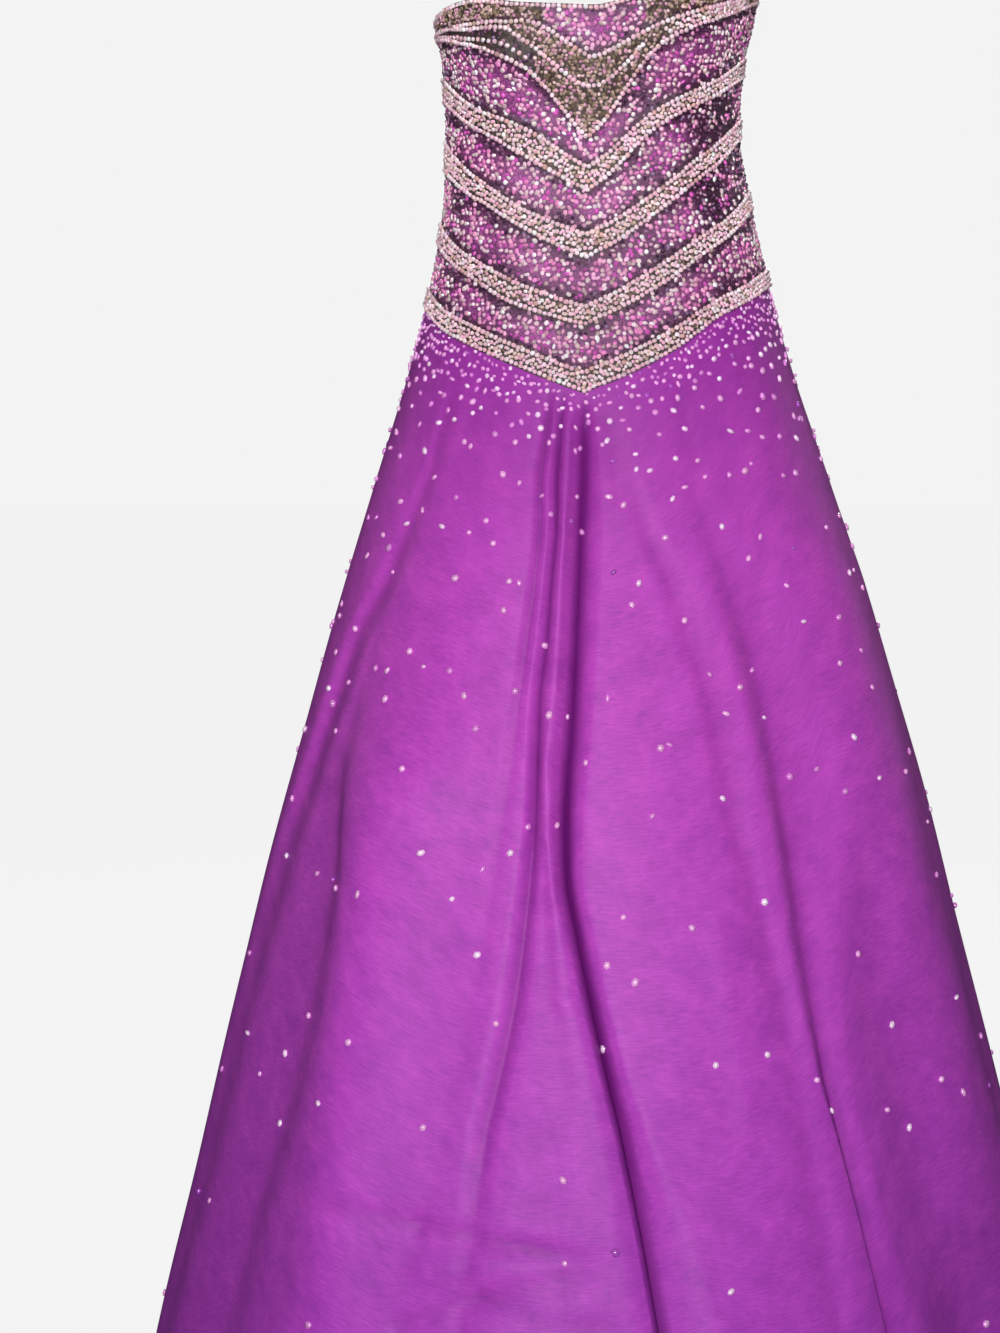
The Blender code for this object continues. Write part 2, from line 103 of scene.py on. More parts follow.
# The skirt's folds. Each path runs from the waist seam (level 0) down to the hem (level 1), with
# the fold's angle, its depth, its reach to its left and right, and how sharp it is: at 0, which
# isn't written, it is a round trough and at 1 a pointed one.
Spot = namedtuple("Spot", "level angle depth left right sharp", defaults=(0,))


def fold(*spots):
    return [Spot(*spot) for spot in spots]


FOLDS = {
    "right_edge": fold(
        (0, -40, 0, 12, 12), (0.05, -41.3, 1.5, 12, 14), (0.117, -44, 3.2, 14, 18),
        (0.162, -47, 4, 16, 20), (0.206, -51, 5, 18, 24), (0.265, -59, 7, 18, 30),
        (0.32, -62.5, 9, 20, 36), (0.38, -66, 8, 22, 40), (0.46, -71, 5, 30, 44),
        (0.6, -73, 3, 40, 44), (1, -76, 3, 44, 44),
    ),
    "right_sweep": fold(
        (0, -50, 0, 26, 16), (0.2, -51, 1, 32, 20), (0.308, -51.6, 3, 50, 28),
        (0.36, -51.4, 6, 70, 34), (0.41, -49.5, 10, 110, 34), (0.454, -47, 10.5, 150, 36),
        (0.553, -46.6, 10, 200, 46), (0.61, -47.8, 10, 200, 50), (0.67, -49.4, 10, 200, 52),
        (0.74, -52.4, 10, 190, 56), (0.82, -54, 9.5, 180, 60), (1, -60, 10, 160, 68),
    ),
    "right_shade": fold(
        (0, -8.4, 0, 6, 6, 0.3), (0.03, -9.2, 3, 7, 6.5, 0.4), (0.052, -9.8, 3.6, 7.5, 7, 0.4),
        (0.087, -10.5, 4, 8, 7.5, 0.4), (0.129, -9.9, 4, 8, 7.5, 0.4),
        (0.172, -10.3, 3.8, 9, 8, 0.4), (0.224, -11.3, 3.8, 10, 9, 0.3),
        (0.275, -12, 2.6, 11, 10, 0.2), (0.326, -12.7, 1.6, 12, 11), (0.5, -16, 0.4, 14, 12),
        (1, -27, 0, 20, 20),
    ),
    "right_lip": fold(
        (0, -5, 0, 6, 5, 0.3), (0.03, -5.8, 3.5, 7, 6, 0.4), (0.083, -6.6, 5, 8, 7.5, 0.6),
        (0.125, -6.3, 5.6, 8.5, 8, 0.6), (0.17, -7, 6.2, 9, 8, 0.6),
        (0.22, -7.4, 6.8, 9.5, 8.5, 0.6), (0.272, -8.3, 7, 10, 8.5, 0.6),
        (0.371, -8.1, 7.4, 11, 9, 0.5), (0.421, -8.5, 7.5, 13, 10, 0.5),
        (0.471, -9.1, 7.5, 15, 12, 0.5), (0.521, -9.9, 7.5, 17, 13, 0.5),
        (0.579, -11.4, 7, 18, 13, 0.5), (0.637, -13.1, 5.6, 18, 14, 0.4),
        (0.7, -13.8, 3, 19, 16, 0.2), (1, -17, 2, 24, 20),
    ),
    "centre_drop": fold(
        (0, 0.4, 0, 5, 5, 0.5), (0.02, 0.2, 5, 11, 11, 0.7), (0.06, -0.1, 11, 14, 16, 0.8),
        (0.14, -0.9, 15.5, 16, 20, 0.8), (0.28, -2, 17.5, 15, 19, 0.8),
        (0.37, -3, 18, 13, 17, 0.8), (0.417, -2.7, 17.5, 12, 16, 0.9),
        (0.465, -0.9, 16.5, 10, 17, 0.9), (0.515, 1, 16.5, 8, 16, 0.9),
        (0.573, 3.2, 16.5, 7, 18, 1), (0.631, 5.4, 17, 7, 24, 1), (0.735, 8.3, 16.5, 7, 44, 1),
        (1, 13.5, 16.5, 9, 58, 1),
    ),
    "left_soft": fold(
        (0, 4.6, 0, 10, 10), (0.087, 9.5, 1, 12, 14), (0.134, 12.4, 1.6, 13, 18),
        (0.183, 17, 2.6, 15, 26), (0.236, 20, 3.4, 16, 34), (0.288, 23, 3.8, 16, 36),
        (0.338, 24, 3.6, 18, 34), (0.389, 25, 3.6, 20, 26), (0.44, 27, 3.8, 22, 22),
        (0.54, 29.6, 4, 26, 22), (0.596, 30.5, 3.6, 28, 22), (0.72, 31.5, 3, 30, 22),
        (1, 34, 3, 34, 26),
    ),
    "left_sweep": fold(
        (0, 21, 0, 12, 12), (0.08, 23.6, 0.6, 14, 14), (0.129, 26, 1.4, 16, 20),
        (0.201, 30.5, 4.5, 22, 44), (0.253, 33.2, 7.5, 24, 60), (0.304, 34.8, 9.5, 25, 70),
        (0.353, 35.4, 10, 24, 76), (0.402, 35.8, 10.5, 22, 74), (0.451, 36, 10, 20, 60, 0.1),
        (0.5, 35.7, 9, 18, 44, 0.2), (0.547, 35.7, 8.5, 16, 36, 0.3),
        (0.602, 35.8, 8.5, 11, 28, 0.6), (0.659, 36.9, 8, 7, 26, 0.8), (0.715, 38, 8, 6, 26, 0.9),
        (0.8, 39.3, 7, 5, 44, 0.9), (1, 42.3, 8, 6, 54, 0.9),
    ),
    "left_broad": fold(
        (0, 50, 0, 18, 18), (0.38, 53, 0, 30, 30), (0.46, 51.5, 3, 50, 60),
        (0.54, 52.5, 10, 85, 92), (0.62, 54, 17, 105, 112), (0.75, 56.5, 22, 120, 122),
        (1, 60.5, 26, 130, 128),
    ),
    "left_edge": fold(
        (0, 70, 0, 16, 16), (0.15, 72, 0.6, 24, 24), (0.5, 76, 0.6, 30, 30), (0.75, 78, 2, 30, 30),
        (1, 80, 3, 30, 30),
    ),
    "back_left_side": fold(
        (0, 108, 0, 18, 18), (0.08, 107, 1, 20, 20), (0.3, 103.6, 5, 26, 28),
        (0.5, 105.4, 9, 34, 34), (0.75, 102.6, 14, 44, 40), (1, 103, 18, 52, 50),
    ),
    "back_left_mid": fold(
        (0, 126, 0, 14, 14), (0.08, 127, 1.5, 15, 16), (0.26, 130.5, 5, 20, 22),
        (0.45, 128.6, 9, 28, 28), (0.62, 131.4, 13, 34, 30), (0.8, 133.5, 15, 38, 34),
        (1, 131, 17, 46, 44),
    ),
    "back_left_inner": fold(
        (0, 155, 0, 8, 9), (0.05, 155.4, 5, 10, 10), (0.18, 156.4, 9, 14, 13),
        (0.32, 155, 12, 16, 16, 0.1), (0.45, 152.4, 14, 14, 18, 0.3),
        (0.58, 153.8, 17, 11, 18, 0.6), (0.74, 157.4, 19, 9, 18, 0.8), (1, 160, 22, 10, 22, 0.9),
    ),
    "back_right_inner": fold(
        (0, -160, 0, 8, 8), (0.06, -160.4, 3, 9, 9), (0.2, -160, 6, 13, 12),
        (0.36, -157, 9, 20, 18), (0.52, -154.4, 12, 26, 24), (0.75, -154, 13, 32, 30),
        (1, -151, 15, 42, 38),
    ),
    "back_right_mid": fold(
        (0, -136, 0, 12, 12), (0.07, -135, 2.5, 13, 13), (0.24, -131.6, 6, 18, 18),
        (0.42, -130.6, 9, 22, 22), (0.6, -127.4, 12, 20, 14, 0.4), (0.74, -126.2, 15, 20, 9, 0.8),
        (1, -123, 18, 22, 9, 0.9),
    ),
    "back_right_side": fold(
        (0, -110, 0, 18, 18), (0.1, -108.5, 1.5, 20, 22), (0.34, -110, 6, 28, 28),
        (0.56, -106, 10, 36, 36), (0.78, -103.4, 13, 42, 44), (1, -104, 17, 50, 50),
    ),
}

# Slack and pressed places in the skirt, each a soft trough (or with a minus a ridge) between two
# points given as angle and height
Dent = namedtuple("Dent", "angle_from height_from angle_to height_to half_width depth")
DENTS = [Dent(*dent) for dent in (
    (-36, -600, -34, -1120, 64, -22), (-36.8, -617, -33, -1010, 28, -3.5),
    (63, -420, 62, -960, 62, -14), (-26, -380, -31, -560, 60, -5), (-4.1, -262, -4.5, -350, 5, -2),
    (-4.5, -350, -5.3, -480, 5, -2.4), (-5.3, -480, -6.4, -560, 5, -2.8),
    (-6.4, -560, -5.8, -620, 5.5, -3), (-5.8, -620, -4.6, -670, 6, -3),
    (-4.6, -670, -2.4, -760, 6.5, -3), (-2.4, -760, 4, -900, 7.5, -2.6),
    (4, -900, 11, -1250, 9, -2.6), (5, -262, 7, -330, 7, 1.2), (24, -232, 27, -300, 9, 1.2),
    (-30, -226, -33, -300, 10, 1.3), (-24, -230, -25, -280, 6, 0.9), (21, -700, 23, -860, 12, -2),
    (-33.3, -941, -21.2, -952, 9, 2.6), (-21.2, -952, -5.1, -966, 8, 3.6),
    (-5.1, -966, 2.4, -972, 8, 2.4), (-20, -988, -9, -976, 9, -2.6),
    (-22.7, -1035, -12.8, -1009, 9, 3.4), (-12.8, -1009, 0.5, -985, 8, 3.4),
    (-11.9, -1005, -5, -1024, 8, 2.6), (-30, -1100, -16, -1072, 13, 4),
    (-5, -874, -4.6, -931, 9, 2.2), (-4.6, -931, -3.2, -980, 9, 2.2),
    (-3.2, -980, 1.5, -1030, 9, 3.4), (1.5, -1030, 4, -1120, 11, 2.4),
    (-33, -1150, -18, -1175, 16, 2.6), (-27, -1085, -14, -1120, 14, -1.6),
    (16, -1140, 30, -1175, 15, 2), (50, -1060, 64, -1110, 17, 2.2),
    (118, -1110, 138, -1160, 16, 2.4), (142, -215, 145, -330, 8, 1.4),
    (168, -205, 166, -300, 8, 1.2), (-168, -208, -169, -310, 8, 1.3),
    (-145, -210, -143, -300, 8, 1.2), (-142, -1090, -120, -1150, 16, 2.4),
    (-172, -1120, -160, -1160, 15, 2),
)]

# How strongly the slack cloth waves in and out, and the power of a pointed fold's sides
SLACK = 1.1
POINTED_POWER = 1.45

# The share of the skirt's length over which its folds begin under the waist seam
FOLDS_BEGIN = 0.012

# For the painted shade in folds: how far aside the cloth is compared, and how much lower than there
# a place lies when it is deep in a fold, for wide folds and for narrow ones
FOLD_SHADE_REACHES = ((13.0, 15.0), (6.0, 7.5))

# Painted shade on the cloth just under the beaded edge too: how strong it is, and about how far
# down it reaches
SEAM_SHADE = 0.55
SEAM_SHADE_FALL = 112.0


def smooth_between(x, xs, ys):
    """A smooth curve through the points (xs, ys), xs rising, that never overshoots them."""
    xs, ys = np.asarray(xs, float), np.asarray(ys, float)
    slopes = np.diff(ys) / np.diff(xs)
    before, after = slopes[:-1], slopes[1:]
    alike = before * after > 0
    total = np.where(alike, before + after, 1.0)
    middle = np.where(alike, 2 * before * after / total, 0.0)
    tangents = np.concatenate((slopes[:1], middle, slopes[-1:]))
    x = np.clip(np.asarray(x, float), xs[0], xs[-1])
    i = np.clip(np.searchsorted(xs, x, side="right") - 1, 0, len(xs) - 2)
    span = xs[i + 1] - xs[i]
    t = (x - xs[i]) / span
    return (
        ys[i] * (1 + 2 * t) * (1 - t) ** 2
        + ys[i + 1] * t * t * (3 - 2 * t)
        + span * (tangents[i] * t * (1 - t) ** 2 - tangents[i + 1] * t * t * (1 - t))
    )


def section_at(height):
    heights = [section.height for section in SECTIONS]
    return [
        smooth_between(height, heights, [getattr(section, name) for section in SECTIONS])
        for name in Section._fields[1:]
    ]


def cup_reach(angle, height):
    """How far the bust cups stand forward of the plain section."""
    reach = 0.0
    for side, cup_height in CUP_HEIGHTS.items():
        across = (angle - side * CUP_ANGLE) / CUP_SPREAD
        along = (height - cup_height) / CUP_RISE
        reach = reach + CUP_REACH * np.exp(-across * across - along * along)
    return reach


def body_point(angle, height):
    """The gown's outer surface without folds, at angles round the body and heights."""
    angle, height = np.broadcast_arrays(np.asarray(angle, float), np.asarray(height, float))
    half_width, centre_x, front, back, squareness, turn = section_at(height)
    turned = np.radians(angle + turn)
    sine, cosine = np.sin(turned), np.cos(turned)
    power = 2.0 / squareness
    across = np.sign(sine) * np.abs(sine) ** power
    along = np.sign(cosine) * np.abs(cosine) ** power
    reach = cup_reach(angle, height)
    depth = np.where(cosine > 0, front, back)
    return np.stack(
        (centre_x + (half_width + reach) * across, -(depth + reach) * along, height), axis=-1
    )


def unit(vectors):
    return vectors / np.linalg.norm(vectors, axis=-1, keepdims=True)


def body_normal(angle, height):
    round_body = body_point(angle + 1.0, height) - body_point(angle - 1.0, height)
    up_body = body_point(angle, height + 2.0) - body_point(angle, height - 2.0)
    return unit(np.cross(round_body, up_body))


def millimetres_per_degree(angle, height):
    step = body_point(angle + 0.5, height) - body_point(angle - 0.5, height)
    return np.linalg.norm(step, axis=-1)


def line_height(line, angle):
    """The height of a bodice line at an angle; it comes to a point at centre front and back."""
    v = BODICE_LINES[line]
    right = smooth_between(
        np.abs(angle), STATIONS, (v.tip, v.right_near, v.right_half, v.right_side, v.back)
    )
    left = smooth_between(
        np.abs(angle), STATIONS, (v.tip, v.left_near, v.left_half, v.left_side, v.back)
    )
    return np.where(np.asarray(angle) < 0, right, left)


def band_lines(chevron, angle):
    """The heights of a band's upper and lower line."""
    return line_height(chevron + "_upper", angle), line_height(chevron + "_lower", angle)


def skirt_height(angle, level):
    top = line_height("hip_lower", angle) - 0.5 * SEAM_GAP
    return top + (HEM_HEIGHT - top) * level


def fold_at(path, level):
    """A fold's angle, depth, reach to each side and sharpness, at levels."""
    levels = [spot.level for spot in path]
    return [
        smooth_between(level, levels, [getattr(spot, name) for spot in path])
        for name in Spot._fields[1:]
    ]


def fold_shape(apart, sharp):
    """A fold's depth across it: 1 in the trough and 0 at its reach, where apart is 1."""
    inside = np.clip(1 - np.abs(apart), 0, 1)
    rounded = 0.5 * (1 - np.cos(math.pi * inside))
    pointed = inside**POINTED_POWER
    return rounded * (1 - sharp) + pointed * sharp


def dent_depth(angle, height, dent, scale):
    """How deep a dent is at points of the skirt, measured across the line between its ends."""
    across = (dent.angle_to - dent.angle_from) * scale
    down = dent.height_to - dent.height_from
    at_across = (angle - dent.angle_from) * scale
    at_down = height - dent.height_from
    length = across * across + down * down
    share = np.clip((at_across * across + at_down * down) / length, 0, 1)
    distance = np.hypot(at_across - across * share, at_down - down * share)
    return dent.depth * np.exp(-((distance / dent.half_width) ** 2))


def skirt_dip(angle, level, height):
    """How far the cloth lies inside the plain surface, from its folds, dents and slackness."""
    scale = millimetres_per_degree(angle, height)
    dip = np.zeros(np.broadcast(angle, level).shape)
    for path in FOLDS.values():
        trough, depth, left, right, sharp = fold_at(path, level)
        apart = (angle - trough) * scale
        dip = dip + depth * fold_shape(np.where(apart < 0, apart / left, apart / right), sharp)
    for dent in DENTS:
        dip = dip + dent_depth(angle, height, dent, scale)
    turn = np.radians(angle)
    slack = (
        np.sin(7 * turn + height / 97 + 0.6) * np.cos(height / 143 + 2.1 * np.sin(3 * turn))
        + 0.6 * np.sin(13 * turn - height / 61) * np.sin(height / 88 + 4 * np.cos(2 * turn))
    )
    return dip + slack * SLACK * np.clip(level * 2.5, 0, 1)


def skirt_hollow(angle, level):
    """How much painted shade the cloth gets: 0 on open cloth, up to 1 deep in a fold and just under
    the waist seam.
    """
    height = skirt_height(angle, level)
    dip = skirt_dip(angle, level, height)
    length = line_height("hip_lower", angle) - HEM_HEIGHT
    fold_shade = 0.0
    for reach, depth in FOLD_SHADE_REACHES:
        aside = reach / millimetres_per_degree(angle, height)
        left, right = [skirt_dip(angle + turn, level, height) for turn in (-aside, aside)]
        above, below = [
            skirt_dip(angle, level + move / length, height - move) for move in (-reach, reach)
        ]
        for beside in (left + right, above + below):
            fold_shade = np.maximum(fold_shade, (dip - 0.5 * beside) / depth)
    fall = level * length
    # Painted shade just under the waist seam
    shade_under_seam = SEAM_SHADE * np.exp(-((fall / SEAM_SHADE_FALL) ** 2))
    return np.clip(fold_shade + shade_under_seam, 0, 1)


def skirt_point(angle, level):
    """The skirt's outer face: folds dip straight in from the plain surface, so the hem is level."""
    height = skirt_height(angle, level)
    inward = body_normal(angle, height) * (-1, -1, 0)
    dip = skirt_dip(angle, level, height) * np.clip(level / FOLDS_BEGIN, 0, 1)
    return body_point(angle, height) + unit(inward) * dip[..., None]


def skirt_normal(angle, level):
    round_skirt = skirt_point(angle + 0.25, level) - skirt_point(angle - 0.25, level)
    low, high = np.minimum(level + 0.003, 1.0), np.maximum(level - 0.003, 0.0)
    up_skirt = skirt_point(angle, high) - skirt_point(angle, low)
    return unit(np.cross(round_skirt, up_skirt))


def cloth_lengths(grid):
    """Each point's place on the cloth, in metres: across from its middle column and down."""
    across = np.linalg.norm(np.diff(grid, axis=1), axis=-1)
    across = np.concatenate((np.zeros((len(grid), 1)), np.cumsum(across, axis=1)), axis=1)
    across = across - across[:, across.shape[1] // 2][:, None]
    down = np.linalg.norm(np.diff(grid, axis=0), axis=-1)
    down = np.concatenate((np.zeros((1, grid.shape[1])), np.cumsum(down, axis=0)), axis=0)
    return np.stack((across, -down), axis=-1) * MM


def add_piece(name, mesh):
    piece = bpy.data.objects.new(name, mesh)
    bpy.context.scene.collection.objects.link(piece)
    return piece


def cloth_shell(name, outer, inner, materials, **marks):
    """A closed shell of cloth between two grids of points, with a UV map in metres of cloth.

    Grids are rows from the top down, each from the panel's first edge to its last. The materials
    are those of the outer face and of the inner face with the rim. Each mark is one number for
    each point of a grid, kept as an attribute of that name.
    """
    rows, columns = outer.shape[:2]
    count = rows * columns
    index = np.arange(count).reshape(rows, columns)
    quad = np.stack(
        (index[:-1, :-1], index[1:, :-1], index[1:, 1:], index[:-1, 1:]), axis=-1
    ).reshape(-1, 4)
    border = np.concatenate(
        (index[0, :0:-1], index[:-1, 0], index[-1, :-1], index[:0:-1, -1])
    )
    following = np.roll(border, -1)
    rim = np.stack((border, border + count, following + count, following), axis=-1)
    faces = np.concatenate((quad, quad[:, ::-1] + count, rim))
    points = np.concatenate((outer.reshape(-1, 3), inner.reshape(-1, 3))) * MM
    mesh = bpy.data.meshes.new(name)
    mesh.from_pydata(points.tolist(), [], faces.tolist())
    places = cloth_lengths(outer).reshape(-1, 2)
    places = np.concatenate((places, places))
    layer = mesh.uv_layers.new(name="cloth")
    layer.data.foreach_set("uv", places[faces.reshape(-1)].astype(np.float32).reshape(-1))
    for mark, values in marks.items():
        both = np.tile(values.reshape(-1), 2).astype(np.float32)
        mesh.attributes.new(mark, "FLOAT", "POINT").data.foreach_set("value", both)
    mesh.shade_smooth()
    mesh.set_sharp_from_angle(angle=math.radians(60))
    for material in materials:
        mesh.materials.append(material)
    inside = np.arange(len(faces)) >= len(quad)
    mesh.polygons.foreach_set("material_index", inside.astype(np.int32))
    return add_piece(name, mesh)


def edge_inset(angle, height, first, last):
    """Angles moved in by half a seam's gap at a panel's two side edges."""
    half_gap = 0.5 * SEAM_GAP / millimetres_per_degree(angle, height)
    return angle + half_gap * ((angle <= first).astype(float) - (angle >= last))


# Shares of a fold's reach at which columns of points run down the skirt, the most that a fold
# may claim of the way to the next one, the widest step between the plain columns in degrees, and
# the rows, which crowd a little towards the waist seam
FOLD_SHARES = (0.12, 0.26, 0.42, 0.6, 0.8)
FOLD_CLAIM = 0.47
PLAIN_STEP = 1.2
SKIRT_ROWS = 150
ROW_CROWDING = 1.04


def skirt_columns(level, first, last):
    """Column angles at a level, which follow each fold closely and the plain cloth evenly."""
    paths = [path for path in FOLDS.values() if first < fold_at(path, 0.5)[0] < last]
    paths.sort(key=lambda path: float(fold_at(path, 0.5)[0]))

    def spans(at_level):
        troughs, reaches = [], []
        for path in paths:
            trough, _, left, right, _ = [float(v) for v in fold_at(path, at_level)]
            scale = float(millimetres_per_degree(trough, float(skirt_height(trough, at_level))))
            troughs.append(trough)
            reaches.append((left / scale, right / scale))
        found = []
        for trough, (left, right), before, after in zip(
            troughs, reaches, [first] + troughs[:-1], troughs[1:] + [last]
        ):
            start = trough - min(left, FOLD_CLAIM * (trough - before))
            found.append((start, trough, trough + min(right, FOLD_CLAIM * (after - trough))))
        return found + [(last, last, last)]

    columns, middle_end = [first], first
    for (left, trough, right), middle in zip(spans(level), spans(0.5)):
        start = columns[-1]
        count = max(1, math.ceil((middle[0] - middle_end) / PLAIN_STEP))
        columns += [start + (left - start) * k / count for k in range(1, count + 1)]
        if left < right:
            columns += [trough + (left - trough) * share for share in FOLD_SHARES[::-1]]
            columns.append(trough)
            columns += [trough + (right - trough) * share for share in FOLD_SHARES]
            columns.append(right)
        middle_end = middle[2]
    return columns


def skirt_panel(name, side, satin):
    first, last = PANELS[side]
    levels = np.linspace(0, 1, SKIRT_ROWS) ** ROW_CROWDING
    angles = np.array([skirt_columns(float(level), first, last) for level in levels])
    levels = np.broadcast_to(levels[:, None], angles.shape)
    angles = edge_inset(angles, skirt_height(angles, levels), first, last)
    outer = skirt_point(angles, levels)
    inner = outer - skirt_normal(angles, levels) * SKIRT_WALL
    inner[0] = outer[0] - body_normal(angles[0], skirt_height(angles[0], 0)) * SKIRT_WALL
    return cloth_shell(name, outer, inner, (satin, satin), hollow=skirt_hollow(angles, levels))


# The step between the bodice's columns in degrees, and the rows in each band and each field
BODICE_STEP = 1.4
BAND_ROWS = 5

# Places between the bands where the beads are dark, or with a minus bright: angle, height, width,
# rise and strength
DARK_PATCHES = (
    (56, 20, 15, 38, 1.3), (48, -48, 14, 26, 1.6), (-78, 40, 16, 44, 1.2), (12, 40, 10, 18, 0.6),
    (-62, -70, 12, 14, 0.6), (80, -40, 12, 30, 0.7), (-40, -10, 12, 14, 0.6),
    # The two bright places high on the cups, at -52 and 50 degrees, are painted highlights.
    (120, 10, 18, 30, 0.9), (-128, -20, 18, 34, 0.9), (-52, 46, 20, 22, -0.7),
    (50, 68, 22, 20, -0.8), (0, -110, 34, 60, 0.3),
)


def bodice_relief(angle, height):
    """1 in a beaded band, 0 between the bands, with a short slope at a band's edges."""
    relief = np.zeros(np.broadcast(angle, height).shape)
    for chevron in CHEVRONS:
        upper, lower = band_lines(chevron, angle)
        from_top = np.clip((upper - height) / BEADWORK_EDGE * 0.5 + 0.5, 0, 1)
        from_foot = np.clip((height - lower) / BEADWORK_EDGE * 0.5 + 0.5, 0, 1)
        if chevron == "hip":
            from_foot = 1.0
        relief = np.maximum(relief, from_top * from_foot)
    return relief


def field_bloom(angle, height):
    """How bright the violet beads between the bands are, from 0 at their dark rims to 1, with
    painted highlights on the cups.
    """
    bloom = np.zeros(np.broadcast(angle, height).shape)
    tops = ["neckline"] + [chevron + "_lower" for chevron in CHEVRONS[:-1]]
    for top, chevron in zip(tops, CHEVRONS):
        above, below = line_height(top, angle), line_height(chevron + "_upper", angle)
        share = (above - height) / (above - below)
        middle = np.where((share > 0) & (share < 1), np.sin(math.pi * np.clip(share, 0, 1)), 0)
        bloom = np.maximum(bloom, middle)
    turn = np.radians(angle)
    cloud = 0.5 + 0.5 * np.sin(9 * turn + height / 19 + 1.3) * np.cos(height / 27 - 5 * turn)
    for at_angle, at_height, width, rise, strength in DARK_PATCHES:
        across, along = (angle - at_angle) / width, (height - at_height) / rise
        cloud = cloud - strength * np.exp(-across * across - along * along)
    return bloom * np.clip(0.35 + 0.75 * cloud, 0, 1)


def rich_net(angle, height):
    """1 where olive and cream beads are sewn close: in the bands and on the tops of the cups."""
    above = np.clip((height - line_height("cup_upper", angle)) / 3, 0, 1)
    over_cups = above * np.clip((np.abs(angle + 1) - 13) / 3, 0, 1)
    return np.maximum(bodice_relief(angle, height), over_cups)


def bodice_heights(angle):
    """A column's heights from the neckline down, with rows crowded at each band's edges."""
    heights = [line_height("neckline", angle)]
    above = heights[0]
    for chevron in CHEVRONS:
        upper, lower = band_lines(chevron, angle)
        field_top = above if chevron == "cup" else above - BEADWORK_EDGE
        field_foot = upper + BEADWORK_EDGE
        for k in range(1, BAND_ROWS + 1):
            heights.append(field_top + (field_foot - field_top) * k / BAND_ROWS)
        band_top = upper - BEADWORK_EDGE
        band_foot = lower + (0.5 * SEAM_GAP if chevron == "hip" else BEADWORK_EDGE)
        for k in range(BAND_ROWS + 1):
            heights.append(band_top + (band_foot - band_top) * k / BAND_ROWS)
        if chevron != "hip":
            heights.append(lower - BEADWORK_EDGE)
        above = lower
    return np.array(heights)


def bodice_panel(name, side, net, satin):
    first, last = PANELS[side]
    columns = np.linspace(first, last, round((last - first) / BODICE_STEP) + 1)
    heights = bodice_heights(columns)
    angles = edge_inset(np.broadcast_to(columns, heights.shape), heights, first, last)
    relief = bodice_relief(angles, heights)
    point, normal = body_point(angles, heights), body_normal(angles, heights)
    outer = point + normal * (relief * BEADWORK_RELIEF)[..., None]
    inner = point - normal * BODICE_WALL
    bloom = field_bloom(angles, heights)
    rich = rich_net(angles, heights)
    return cloth_shell(name, outer, inner, (net, satin), band=rich, bloom=bloom)


def linear(colour):
    """A colour from its sRGB hex value to the linear numbers that shaders use."""
    parts = [int(colour[i : i + 2], 16) / 255 for i in (1, 3, 5)]
    return [p / 12.92 if p <= 0.04045 else ((p + 0.055) / 1.055) ** 2.4 for p in parts] + [1.0]


def new_material(name, values):
    """A material with these values on its shader's sockets."""
    material = bpy.data.materials.new(name)
    material.use_nodes = True
    shader = material.node_tree.nodes["Principled BSDF"]
    for socket, value in values.items():
        shader.inputs[socket].default_value = value
    return material, material.node_tree, shader


def dyed_material(name, values, sockets=("Base Color",)):
    """A material whose sockets take each bead's own dye."""
    material, tree, shader = new_material(name, values)
    dye = add_node(tree, "ShaderNodeAttribute", {"attribute_name": "dye"})
    for socket in sockets:
        tree.links.new(dye.outputs["Color"], shader.inputs[socket])
    return material


def add_node(tree, kind, settings=None, values=None, links=None):
    """Adds a node: its settings, its sockets' values, and the output that each socket reads."""
    node = tree.nodes.new(kind)
    for key, value in (settings or {}).items():
        setattr(node, key, value)
    for key, value in (values or {}).items():
        node.inputs[key].default_value = value
    for key, output in (links or {}).items():
        tree.links.new(output, node.inputs[key])
    return node


def colour_steps(tree, source, steps):
    """A colour ramp through (place, hex colour) steps."""
    ramp = add_node(tree, "ShaderNodeValToRGB", links={"Fac": source})
    band = ramp.color_ramp
    while len(band.elements) < len(steps):
        band.elements.new(0.5)
    for element, (place, colour) in zip(band.elements, steps):
        element.position = place
        element.color = linear(colour)
    return ramp.outputs["Color"]


# Sewn beads. Sizes are along the row, across it and out from the net.
Bead = namedtuple("Bead", "along across tall")
LINE_BEAD = Bead(5.3, 5.0, 3.7)
ZIGZAG_BEAD = Bead(4.0, 3.6, 2.8)
PEARL = Bead(4.9, 4.9, 3.4)
FILL_BEAD = Bead(4.2, 3.7, 2.6)
SEQUIN = Bead(5.2, 4.3, 2.2)
LINE_PITCH = 4.75
ZIGZAG_PITCH = 4.0
ZIGZAG_PERIOD = 11.0
ZIGZAG_REACH = 0.25
ZIGZAG_BANDS = (13.0, 30.0)
PEARL_ROW_PITCH = 6.2
FILL_PITCH = 3.55
FIELD_PITCH = 4.9

# The fill's distance to sewn beads, to a panel's two sides and to its top and foot, the share of
# its places kept between the bands, and the bloom under which a share of those beads is dark
FILL_CLEARANCE = 2.8
FILL_SIDE = 1.9
FILL_INSET = 1.0
FIELD_KEPT = 0.92
DULL_BLOOM = 0.3
DULL_SHARE = 0.7

# How far a bead's middle stands off the net as a share of its height, how far beads wander from
# their row, and how unlike each other they are in turn (radians), size and light
BEAD_LIFT = 0.32
ROW_WANDER = 0.28
ROW_TURN = 0.25
ROW_SIZES = 0.15
FILL_TURN = 1.5
FILL_SIZES = 0.3
FILL_LIGHT = 0.27

# A row of beads inside the top band, from the right side over the cup to the centre: its angles
# and heights, where it meets the band's upper edge, and the dark place under it, as its middle
# angle, its reach and the chance of a bead
CUP_ROW_ANGLES = (-90, -65, -48, -31, -22, -10, 0, 8, 15)
CUP_ROW_HEIGHTS = (89, 90, 86, 85, 73, 50, 34, 50, 72)
CUP_ROW_JOINS = -22.0
DARK_ROW = (-54, 36, 0.35)

